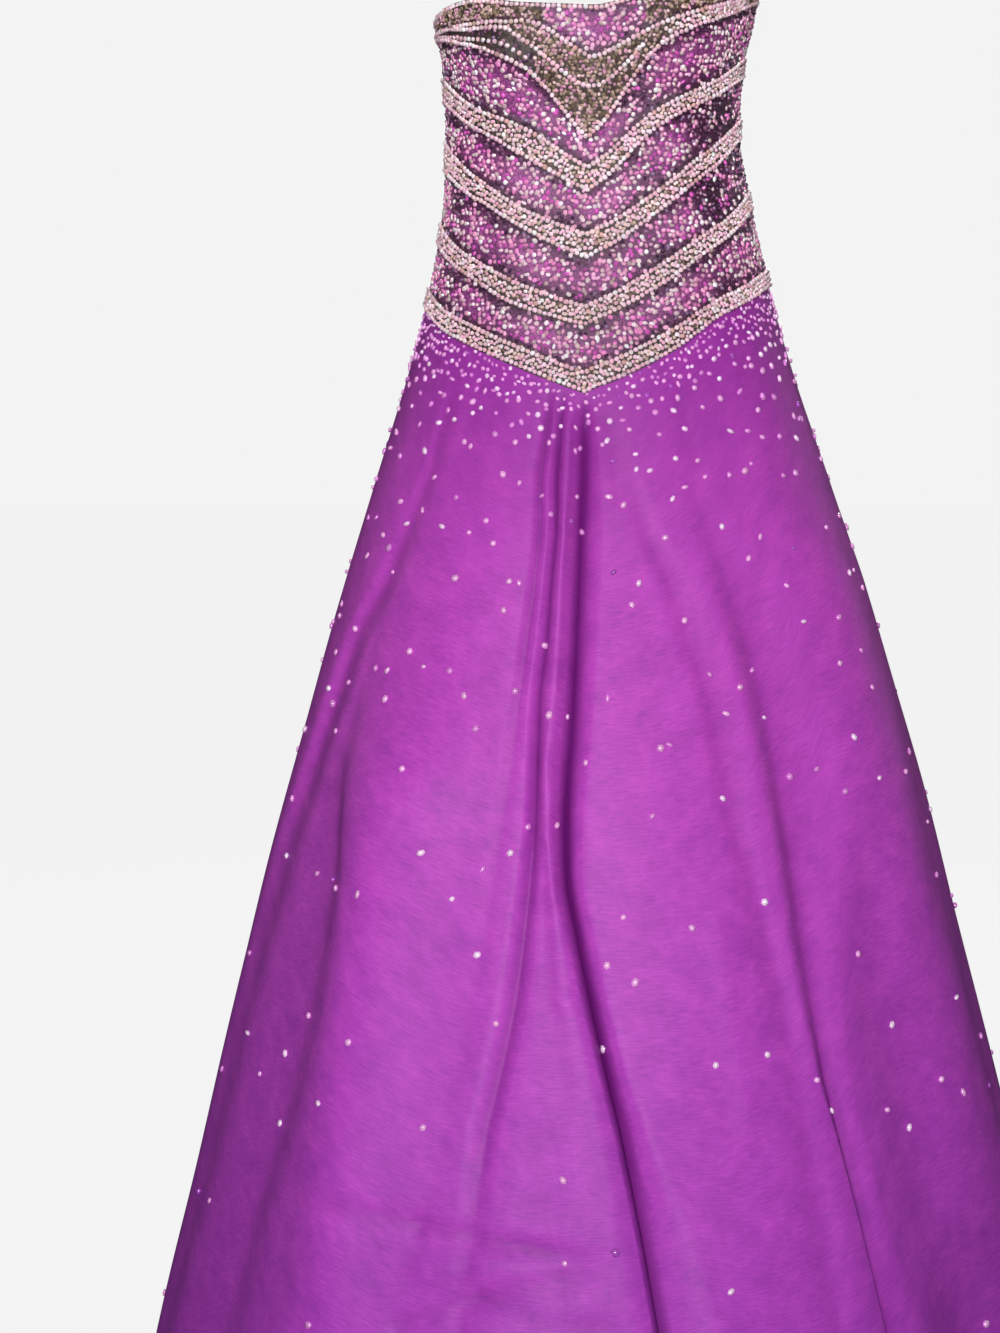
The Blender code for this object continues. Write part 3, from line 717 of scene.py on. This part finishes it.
# Dyes as sRGB colours, with how many beads in a hundred have each
LINE_DYES = {"#FFDCE6": 46, "#FFC8DC": 30, "#F8CAD0": 12, "#D8A8A4": 4, "#FFF2F4": 8}
CUP_DYES = {"#E0BCC0": 23, "#B89C8C": 24, "#84705C": 24, "#56403A": 14, "#D89AB8": 15}
BAND_DYES = {"#FFDEE6": 36, "#F2D2CA": 22, "#CEB6A4": 12, "#866A62": 4, "#FFC0DA": 26}
DARK_DYES = {"#865478": 32, "#C494B0": 16, "#442042": 38, "#8E7296": 14}
FIELD_DYES = {
    "#FAB2D4": 27, "#EC8CC8": 20, "#FBDCE4": 20, "#D65CBE": 12, "#D2B8B8": 10, "#FFF0F0": 11,
}
STONE_DYES = {"#F4AEE8": 46, "#E48EDE": 28, "#FBD8F6": 21, "#B054C0": 5}


class Sewing:
    """Gathers beads panel by panel, and keeps the places that are taken."""

    def __init__(self, seed):
        self.random = np.random.default_rng(seed)
        self.rows = []

    def dye(self, dyes, count, spread=0.22):
        colours = np.array([linear(colour)[:3] for colour in dyes])
        shares = np.array(list(dyes.values()), float)
        chosen = self.random.choice(len(colours), size=count, p=shares / shares.sum())
        light = 1 + spread * self.random.uniform(-1, 1, (count, 1))
        return np.clip(colours[chosen] * light, 0, 1)

    def add(self, places, outward, along, bead, colours, spin=0.0, size_spread=0.1):
        """Adds beads at places, each lying along a direction on the net."""
        count = len(places)
        size = np.array(bead) * (1 + size_spread * self.random.uniform(-1, 1, (count, 3)))
        turn = spin * self.random.uniform(-1, 1, (count, 1))
        along = unit(along - outward * np.sum(along * outward, axis=-1, keepdims=True))
        across = np.cross(outward, along)
        turned = along * np.cos(turn) + across * np.sin(turn)
        self.rows.append((places, outward, turned, size, colours))

    def taken(self):
        return np.concatenate([row[0] for row in self.rows])

    def make(self, name, material, smooth=True):
        """One mesh of all the gathered beads, each a twenty-sided bead of its own dye."""
        bpy.ops.object.select_all(action="DESELECT")
        bpy.ops.mesh.primitive_ico_sphere_add(subdivisions=1, radius=0.5)
        pattern = bpy.context.object
        ball = np.array([v.co for v in pattern.data.vertices])
        sides = np.array([p.vertices for p in pattern.data.polygons])
        bpy.data.meshes.remove(pattern.data)
        places, outward, along, size, colours = [np.concatenate(p) for p in zip(*self.rows)]
        across = np.cross(outward, along)
        points = (
            (places + outward * size[:, 2:] * BEAD_LIFT)[:, None]
            + ball[None, :, 0:1] * (along * size[:, 0:1])[:, None]
            + ball[None, :, 1:2] * (across * size[:, 1:2])[:, None]
            + ball[None, :, 2:3] * (outward * size[:, 2:])[:, None]
        )
        count = len(places)
        faces = sides[None] + (np.arange(count) * len(ball))[:, None, None]
        mesh = bpy.data.meshes.new(name)
        mesh.vertices.add(count * len(ball))
        mesh.vertices.foreach_set("co", (points * MM).astype(np.float32).reshape(-1))
        mesh.loops.add(faces.size)
        mesh.loops.foreach_set("vertex_index", faces.astype(np.int32).reshape(-1))
        mesh.polygons.add(count * len(sides))
        mesh.polygons.foreach_set("loop_start", np.arange(0, faces.size, 3, dtype=np.int32))
        mesh.update(calc_edges=True)
        mesh.validate()
        dye = mesh.attributes.new("dye", "FLOAT_COLOR", "POINT")
        rgba = np.concatenate((colours, np.ones((count, 1))), axis=1)
        rgba = np.repeat(rgba, len(ball), axis=0).astype(np.float32)
        dye.data.foreach_set("color", rgba.reshape(-1))
        if smooth:
            mesh.shade_smooth()
        mesh.materials.append(material)
        return add_piece(name, mesh)


def net_point(angle, height):
    """A point on the bodice's outer face, with its outward direction."""
    outward = body_normal(angle, height)
    relief = bodice_relief(angle, height) * BEADWORK_RELIEF
    return body_point(angle, height) + outward * relief[..., None], outward


def running_total(steps):
    return np.concatenate(([0], np.cumsum(steps)))


def run_along(points):
    """How far each point of a curve lies along it."""
    return running_total(np.linalg.norm(np.diff(points, axis=0), axis=-1))


def even_places(angles, heights, pitch):
    """Angles and heights of beads at an even pitch along a curve on the bodice."""
    run = run_along(body_point(angles, heights))
    count = max(2, round(run[-1] / pitch))
    at = (np.arange(count) + 0.5) * run[-1] / count
    return np.interp(at, run, angles), np.interp(at, run, heights)


def sew_curve(sewing, angles, heights, pitch=LINE_PITCH, bead=LINE_BEAD, dyes=LINE_DYES):
    """Sews a row of beads along a curve, which are line beads where nothing else is said."""
    angle, height = even_places(angles, heights, pitch)
    height = height + sewing.random.normal(0, ROW_WANDER, len(height))
    place, outward = net_point(angle, height)
    along = np.gradient(place, axis=0)
    colours = sewing.dye(dyes, len(angle))
    sewing.add(place, outward, along, bead, colours, ROW_TURN, ROW_SIZES)


def sew_band_edges(sewing, first, last):
    """A row of bright beads on each edge of every band and along the neckline."""
    angles = np.linspace(first, last, 400)
    inset = 0.5 * LINE_BEAD.across
    sew_curve(sewing, angles, line_height("neckline", angles) - inset)
    for chevron in CHEVRONS:
        upper, lower = band_lines(chevron, angles)
        dull = angles < (CUP_ROW_JOINS if chevron == "cup" else first)
        for part, dyes in ((dull, BAND_DYES), (~dull, LINE_DYES)):
            if part.any():
                sew_curve(sewing, angles[part], upper[part] - inset, dyes=dyes)
        sew_curve(sewing, angles, lower + inset)
    if first < 0 < last:
        over_cup = angles[angles < CUP_ROW_ANGLES[-1]]
        row = smooth_between(over_cup, CUP_ROW_ANGLES, CUP_ROW_HEIGHTS)
        sew_curve(sewing, over_cup, row)
        under_row = over_cup[over_cup < -20]
        row = smooth_between(under_row, CUP_ROW_ANGLES, CUP_ROW_HEIGHTS)
        middle = 0.5 * (row + line_height("cup_lower", under_row)) - 0.5
        sew_curve(sewing, under_row, middle, PEARL_ROW_PITCH, PEARL)


def sew_zigzags(sewing, first, last):
    """A zigzag of beads inside each band, with a pearl in each of its triangles."""
    for chevron in CHEVRONS:
        angles = np.linspace(first, last, 1600)
        upper, lower = band_lines(chevron, angles)
        middle, reach = 0.5 * (upper + lower), ZIGZAG_REACH * (upper - lower)
        run = run_along(body_point(angles, middle))
        phase = run / ZIGZAG_PERIOD
        swing = 4 * np.abs(phase - np.floor(phase) - 0.5) - 1
        least, most = ZIGZAG_BANDS
        narrow = (upper - lower > least) & (upper - lower < most)
        if chevron == "cup":
            narrow &= angles > 20
        for part in np.split(np.arange(len(angles)), np.flatnonzero(np.diff(narrow)) + 1):
            if narrow[part[0]] and len(part) > 8:
                heights = (middle + swing * reach)[part]
                sew_curve(sewing, angles[part], heights, ZIGZAG_PITCH, ZIGZAG_BEAD, BAND_DYES)
        beats = np.arange(0, 2 * phase[-1]) / 2 * ZIGZAG_PERIOD
        angle = np.interp(beats, run, angles)
        peak = np.where(np.arange(len(beats)) % 2 == 0, -0.4, 0.4)
        height = np.interp(beats, run, middle) + peak * np.interp(beats, run, reach)
        kept = np.interp(beats, run, narrow.astype(float)) > 0.5
        if kept.sum() > 2:
            place, outward = net_point(angle[kept], height[kept])
            along = np.gradient(place, axis=0)
            colours = sewing.dye(LINE_DYES, len(place))
            sewing.add(place, outward, along, PEARL, colours, 0, ROW_SIZES)


def scattered_places(random, first, last, pitch):
    """Loosely staggered angles and heights all over a panel of the bodice."""
    angles, heights = [], []
    levels = np.arange(-245.0, 142.0, pitch * 0.88)
    for k, height in enumerate(levels):
        line = np.linspace(first, last, 200)
        run = running_total(millimetres_per_degree(line[1:], height) * np.diff(line))
        at = np.arange(pitch * (0.25 + 0.5 * (k % 2)), run[-1], pitch)
        at = at + random.uniform(-0.3, 0.3, len(at)) * pitch
        angles.append(np.interp(at, run, line))
        heights.append(height + random.uniform(-0.3, 0.3, len(at)) * pitch)
    angle, height = np.concatenate(angles), np.concatenate(heights)
    low = line_height("hip_lower", angle) + FILL_INSET
    high = line_height("neckline", angle) - FILL_INSET
    side = FILL_SIDE / millimetres_per_degree(angle, height)
    inside = (height > low) & (height < high) & (angle > first + side) & (angle < last - side)
    return angle[inside], height[inside]


def sew_fill(sewing, first, last):
    """Beads and sequins over the rest of the net, clear of those that are already sewn."""
    sewn = sewing.taken()
    tree = KDTree(len(sewn))
    for k, point in enumerate(sewn):
        tree.insert(point, k)
    tree.balance()
    for pitch, in_bands in ((FILL_PITCH, True), (FIELD_PITCH, False)):
        angle, height = scattered_places(sewing.random, first, last, pitch)
        place, outward = net_point(angle, height)
        clear = np.array([tree.find(point)[2] > FILL_CLEARANCE for point in place])
        rich = rich_net(angle, height) > 0.5
        bloom = field_bloom(angle, height)
        under_row = height < smooth_between(angle, CUP_ROW_ANGLES, CUP_ROW_HEIGHTS)
        in_cup_band = height > line_height("cup_lower", angle)
        row_middle, row_reach, row_chance = DARK_ROW
        dark_row = under_row & in_cup_band & (np.abs(angle - row_middle) < row_reach)
        chance = np.where(dark_row, row_chance, np.where(rich, 1.0, FIELD_KEPT - 0.12 * bloom))
        kept = clear & (rich == in_bands) & (sewing.random.random(len(angle)) < chance)
        dull = ~rich & (bloom < DULL_BLOOM) & (sewing.random.random(len(angle)) < DULL_SHARE)
        dull = dark_row | dull
        round_body = body_point(angle + 0.2, height) - body_point(angle - 0.2, height)
        for chosen, bead, dyes in (
            (kept & rich & ~dark_row & in_cup_band, FILL_BEAD, CUP_DYES),
            (kept & rich & ~in_cup_band, FILL_BEAD, BAND_DYES),
            (kept & dull, FILL_BEAD, DARK_DYES),
            (kept & ~rich & ~dull, SEQUIN, FIELD_DYES),
        ):
            colours = sewing.dye(dyes, int(chosen.sum()), FILL_LIGHT)
            where = place[chosen], outward[chosen], round_body[chosen]
            sewing.add(*where, bead, colours, FILL_TURN, FILL_SIZES)


# How far in from a panel's two side edges the beads start, in degrees: at the centre back they
# leave room for the zip's slider and pull
BEAD_INSETS = {"front": (0.12, 0.12), "back_left": (0.12, 1.2), "back_right": (1.2, 0.12)}


def bodice_beads(side, glass):
    """Three pieces of beads for a panel: its rows, its zigzags with pearls, and its fill."""
    first, last = PANELS[side]
    first, last = first + BEAD_INSETS[side][0], last - BEAD_INSETS[side][1]
    rows = Sewing(11)
    sew_band_edges(rows, first, last)
    zigzags = Sewing(12)
    sew_zigzags(zigzags, first, last)
    fill = Sewing(13)
    fill.rows = rows.rows + zigzags.rows
    sewn = len(fill.rows)
    sew_fill(fill, first, last)
    fill.rows = fill.rows[sewn:]
    made = []
    for kind, sewing in (("rows", rows), ("zigzags", zigzags), ("fill", fill)):
        piece = sewing.make("beads_" + side + "_" + kind, glass)
        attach(piece, "gown")
        made.append(piece)
    return made


# Crystals on the skirt: from and to which distance below the waist seam, how many lie in a
# square of 100 mm, and their size as a share of a full stone
STONE = Bead(7.0, 5.9, 3.4)
STONE_SPREAD = 0.32
STONE_RINGS = (
    (1.5, 8, 230, 0.56), (8, 16, 170, 0.62), (16, 26, 115, 0.7), (26, 38, 78, 0.8),
    (38, 52, 44, 0.9), (52, 72, 22, 0.98), (72, 110, 10.5, 1),
    (110, 190, 7.6, 1), (190, 330, 4.4, 1), (330, 500, 2.2, 1.02), (500, 700, 1.2, 1.05),
    (700, 985, 0.7, 1.12),
)


def skirt_stones(side, crystal):
    """Crystals scattered over the skirt, thick under the waist seam and few towards the hem."""
    first, last = PANELS[side]
    sewing = Sewing({"front": 31, "back_left": 32, "back_right": 33}[side])
    random = sewing.random
    for near, far, in_square, share in STONE_RINGS:
        middle = 0.5 * (first + last)
        drop = 0.5 * (near + far)
        width = float(millimetres_per_degree(middle, -200.0 - drop)) * (last - first)
        count = max(1, round(in_square * width * (far - near) / 10000))
        cell = (last - first) / count
        angle = first + cell * (np.arange(count) + random.uniform(0.1, 0.9, count))
        fall = random.uniform(near, far, count)
        top = line_height("hip_lower", angle)
        level = fall / (top - HEM_HEIGHT)
        place, outward = skirt_point(angle, level), skirt_normal(angle, level)
        down = np.broadcast_to((0.0, 0.0, -1.0), place.shape)
        colours = sewing.dye(STONE_DYES, count, 0.1)
        stone = [length * share for length in STONE]
        sewing.add(place, outward, down, stone, colours, FILL_TURN, STONE_SPREAD)
    piece = sewing.make("crystals_" + side, crystal, smooth=False)
    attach(piece, "gown")
    return piece


# The hem's blind stitches: short dashes of thread
HEM_STITCH = Bead(3.4, 0.7, 0.5)
HEM_STITCH_PITCH = 7.0
HEM_STITCH_RISE = 22.0
THREAD_DYES = {"#A03CA6": 60, "#8A3092": 40}


def hem_stitches(side, thread):
    """A row of small stitches all along a skirt panel's hem."""
    first, last = PANELS[side]
    sewing = Sewing(41)
    line = np.linspace(first + 0.3, last - 0.3, 900)
    top = line_height("hip_lower", line)
    level = 1 - HEM_STITCH_RISE / (top - HEM_HEIGHT)
    run = run_along(skirt_point(line, level))
    angle = np.interp(np.arange(0.5 * HEM_STITCH_PITCH, run[-1], HEM_STITCH_PITCH), run, line)
    level = np.interp(angle, line, level)
    place = skirt_point(angle, level)
    along = np.gradient(place, axis=0)
    colours = sewing.dye(THREAD_DYES, len(angle), 0.1)
    sewing.add(place, skirt_normal(angle, level), along, HEM_STITCH, colours, 0.15)
    piece = sewing.make("hem_stitches_" + side, thread)
    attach(piece, "gown")
    return piece


def mix_colours(tree, factor, first, second):
    """The mix of two colours: a mix node's sockets 6 and 7 are colours, and so is its output 2."""
    links = {"Factor": factor, 6: first, 7: second}
    return add_node(tree, "ShaderNodeMix", {"data_type": "RGBA"}, links=links).outputs[2]


def violet_satin():
    """Bridal satin: polyester floats woven tight, so it has a broad soft sheen and a fine rib."""
    values = {"Roughness": 0.5, "Specular IOR Level": 0.16}
    material, tree, shader = new_material("violet bridal satin", values)
    place = add_node(tree, "ShaderNodeUVMap", {"uv_map": "cloth"})
    # A real pick is 0.2 mm; the ribs are drawn 1.4 mm apart so that they show in the render.
    ribs = add_node(
        tree, "ShaderNodeMapping", values={"Scale": (70.0, 720.0, 1.0)},
        links={"Vector": place.outputs["UV"]},
    )
    rib = add_node(
        tree, "ShaderNodeTexNoise",
        values={"Scale": 1.0, "Detail": 2.0, "Roughness": 0.6}, links={"Vector": ribs.outputs[0]},
    )
    # The floats catch the light unevenly, from clouds of 33 mm down to grains of half a millimetre.
    grain = add_node(
        tree, "ShaderNodeTexNoise", values={"Scale": 30.0, "Detail": 6.0, "Roughness": 0.76},
        links={"Vector": place.outputs["UV"]},
    )
    tone = add_node(
        tree, "ShaderNodeMix", {"data_type": "FLOAT"}, {"Factor": 0.58},
        {"A": rib.outputs["Fac"], "B": grain.outputs["Fac"]},
    )
    upper = colour_steps(
        tree, tone.outputs[0], [(0.32, "#A03CAA"), (0.5, "#BC47BE"), (0.68, "#D254CC")]
    )
    # Below about 0.3 m of cloth the colour darkens towards this lower ramp, reached 1 m down:
    # painted shade for light falling off towards the hem.
    lower = colour_steps(
        tree, tone.outputs[0], [(0.32, "#9436AC"), (0.5, "#AC40BC"), (0.68, "#C44CCE")]
    )
    down = add_node(tree, "ShaderNodeSeparateXYZ", links={"Vector": place.outputs["UV"]})
    low = add_node(
        tree, "ShaderNodeMapRange",
        values={"From Min": -0.3, "From Max": -1.0, "To Min": 0.0, "To Max": 1.0},
        links={"Value": down.outputs["Y"]},
    )
    colour = mix_colours(tree, low.outputs[0], upper, lower)
    # Painted shade: in the folds and just under the waist seam the cloth's colour is mixed towards
    # a deep violet.
    hollow = add_node(tree, "ShaderNodeAttribute", {"attribute_name": "hollow"})
    shade_colour = add_node(tree, "ShaderNodeRGB")
    shade_colour.outputs[0].default_value = linear("#741C7A")
    shaded = mix_colours(tree, hollow.outputs["Fac"], colour, shade_colour.outputs[0])
    tree.links.new(shaded, shader.inputs["Base Color"])
    bump = add_node(
        tree, "ShaderNodeBump", values={"Strength": 0.14, "Distance": 0.0005},
        links={"Height": tone.outputs[0]},
    )
    tree.links.new(bump.outputs["Normal"], shader.inputs["Normal"])
    return material


def beaded_mesh():
    """Net over violet satin, close-set with seed beads: grainy, darker inside the bands."""
    material, tree, shader = new_material("bead-sewn net", {"Roughness": 0.42})
    place = add_node(tree, "ShaderNodeUVMap", {"uv_map": "cloth"})
    # Seed beads of 1.6 mm fill the net between the sewn ones.
    seeds = add_node(
        tree, "ShaderNodeTexVoronoi", values={"Scale": 620.0, "Randomness": 0.9},
        links={"Vector": place.outputs["UV"]},
    )
    band = add_node(tree, "ShaderNodeAttribute", {"attribute_name": "band"})
    bloom = add_node(tree, "ShaderNodeAttribute", {"attribute_name": "bloom"})
    bright = colour_steps(
        tree, seeds.outputs["Distance"], [(0.0, "#DC88C2"), (0.3, "#BA5AA6"), (0.65, "#7A3272")]
    )
    plum = colour_steps(
        tree, seeds.outputs["Distance"], [(0.0, "#744060"), (0.35, "#4C2042"), (0.7, "#2A1024")]
    )
    field = mix_colours(tree, bloom.outputs["Fac"], plum, bright)
    dark = colour_steps(
        tree, seeds.outputs["Distance"], [(0.0, "#7E665C"), (0.35, "#4C3A34"), (0.7, "#261C1A")]
    )
    tree.links.new(mix_colours(tree, band.outputs["Fac"], field, dark), shader.inputs["Base Color"])
    bump = add_node(
        tree, "ShaderNodeBump", {"invert": True}, {"Strength": 0.7, "Distance": 0.0008},
        {"Height": seeds.outputs["Distance"]},
    )
    tree.links.new(bump.outputs["Normal"], shader.inputs["Normal"])
    return material


def bead_glass():
    """Silver-lined glass beads: bright points on a soft body, each of its own dye."""
    values = {"Metallic": 0.08, "Roughness": 0.25, "IOR": 1.5}
    values |= {"Coat Weight": 0.5, "Coat Roughness": 0.08}
    return dyed_material("silver-lined glass bead", values)


def sewing_thread():
    """Violet polyester thread: a dull twist that only just shows on the satin."""
    return dyed_material("violet sewing thread", {"Roughness": 0.6})


def glowing_crystal():
    """Foil-backed crystal: flat facets that flash pinkish white, with a painted glow in its own dye
    so that it is never quite dark.
    """
    values = {"Metallic": 0.1, "Roughness": 0.15, "IOR": 1.6, "Coat Weight": 0.6}
    # Painted light: each crystal glows faintly in its own dye.
    values["Emission Strength"] = 0.11
    return dyed_material("foil-backed crystal with painted glow", values, ("Base Color", "Emission Color"))


def polished_nickel():
    """Nickel-plated zinc: the zip's slider and pull, with a faint cloudy tarnish."""
    values = {"Metallic": 1.0, "Roughness": 0.2}
    material, tree, shader = new_material("polished nickel", values)
    place = add_node(tree, "ShaderNodeTexCoord")
    cloud = add_node(
        tree, "ShaderNodeTexNoise", values={"Scale": 420.0, "Detail": 3.0},
        links={"Vector": place.outputs["Object"]},
    )
    colour = colour_steps(tree, cloud.outputs["Fac"], [(0.35, "#B9B3B6"), (0.65, "#D6D1D2")])
    tree.links.new(colour, shader.inputs["Base Color"])
    return material


def woven_tape():
    """Polyester zip tape: matt, with a weft rib every 2 mm down its length."""
    material, tree, shader = new_material("violet zip tape", {"Roughness": 0.8})
    place = add_node(tree, "ShaderNodeTexCoord")
    ribs = add_node(
        tree, "ShaderNodeTexWave", {"bands_direction": "Z"},
        {"Scale": 160.0, "Distortion": 0.4}, {"Vector": place.outputs["Object"]},
    )
    colour = colour_steps(tree, ribs.outputs["Fac"], [(0.2, "#6A2376"), (0.8, "#8A3796")])
    tree.links.new(colour, shader.inputs["Base Color"])
    return material


# The pale paper that the gown stands on and before
BACKDROP = "#F3F3F3"


def pale_floor():
    """Photographer's paper, evenly lit to nearly white."""
    values = {"Base Color": linear("#2C2C2C"), "Roughness": 0.9, "Specular IOR Level": 0.0}
    values |= {"Emission Color": linear(BACKDROP), "Emission Strength": 0.99}
    return new_material("pale paper floor", values)[0]


def panels():
    satin, net = violet_satin(), beaded_mesh()
    made = {}
    for side in PANELS:
        bodice = bodice_panel("bodice_" + side + "_net", side, net, satin)
        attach(bodice, "gown")
        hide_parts("bodice_" + side)
        skirt = skirt_panel("skirt_" + side + "_satin", side, satin)
        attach(skirt, "gown")
        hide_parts("skirt_" + side)
        made[side] = (bodice, skirt)
    return made


# Square lights, in metres, watts and degrees: each stands at a place and faces a target
Light = namedtuple("Light", "name place target size watts spread")
LIGHTS = (
    Light("key", (-0.32, -3.5, 0.1), (-0.02, 0.0, -0.64), 1.1, 14.6, 66),
    Light("bodice_light", (-0.3, -2.6, 0.9), (0.0, 0.0, -0.02), 0.3, 0.3, 15),
    Light("front_fill", (-0.3, -3.6, 0.3), (0.0, 0.0, -0.5), 2.0, 2.2, 120),
    Light("back_fill", (0.3, 3.6, 1.0), (0.0, 0.0, -0.5), 2.0, 44, 120),
    Light("right_side", (3.0, 1.5, 0.6), (0.0, 0.0, -0.5), 2.0, 5, 120),
    Light("left_side", (-3.0, 1.5, 0.6), (0.0, 0.0, -0.5), 2.0, 2, 120),
    Light("top", (0.0, -0.4, 3.0), (0.0, 0.0, -0.4), 2.2, 3.0, 140),
)


def area_light(light):
    bpy.ops.object.light_add(type="AREA", location=light.place)
    lamp = bpy.context.object
    lamp.name = light.name
    lamp.data.shape = "RECTANGLE"
    lamp.data.size, lamp.data.size_y = light.size, light.size
    lamp.data.energy = light.watts
    lamp.data.spread = math.radians(light.spread)
    lamp.visible_camera = False
    direction = np.array(light.target) - np.array(light.place)
    lamp.rotation_mode = "QUATERNION"
    lamp.rotation_quaternion = Vector(direction).to_track_quat("-Z", "Y")


def studio():
    bpy.ops.object.select_all(action="DESELECT")
    bpy.ops.mesh.primitive_plane_add(size=40.0, location=(0, 0, FLOOR_HEIGHT * MM))
    floor = bpy.context.object
    floor.name = "studio_floor"
    floor.visible_diffuse = False
    floor.visible_glossy = False
    floor.data.materials.append(pale_floor())
    for light in LIGHTS:
        area_light(light)
    world = bpy.data.worlds.new("studio")
    world.use_nodes = True
    tree = world.node_tree
    background = tree.nodes["Background"]
    background.inputs["Color"].default_value = linear(BACKDROP)
    seen = add_node(tree, "ShaderNodeLightPath")
    strength = add_node(
        tree, "ShaderNodeMix", {"data_type": "FLOAT"}, {"A": 0.06, "B": 1.0},
        {"Factor": seen.outputs["Is Camera Ray"]},
    )
    tree.links.new(strength.outputs[0], background.inputs["Strength"])
    bpy.context.scene.world = world
    bpy.context.scene.view_settings.view_transform = "Standard"


def photo_camera():
    bpy.ops.object.camera_add(
        location=CAMERA_PLACE, rotation=(math.radians(CAMERA_TILT), 0, 0)
    )
    camera = bpy.context.object
    camera.name = "photo_camera"
    camera.data.lens = CAMERA_LENS
    bpy.context.scene.camera = camera


photo_camera()
studio()
cloth = panels()
glass, crystal = bead_glass(), glowing_crystal()
beads = {side: bodice_beads(side, glass) for side in PANELS}
stones = {side: skirt_stones(side, crystal) for side in PANELS}
thread = sewing_thread()
stitches = {side: hem_stitches(side, thread) for side in PANELS}
tape = woven_tape()
nickel = polished_nickel()
for node, finish in (("zip_tape", tape), ("zip_slider", nickel), ("zip_pull", nickel)):
    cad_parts[node].data.materials[0] = finish
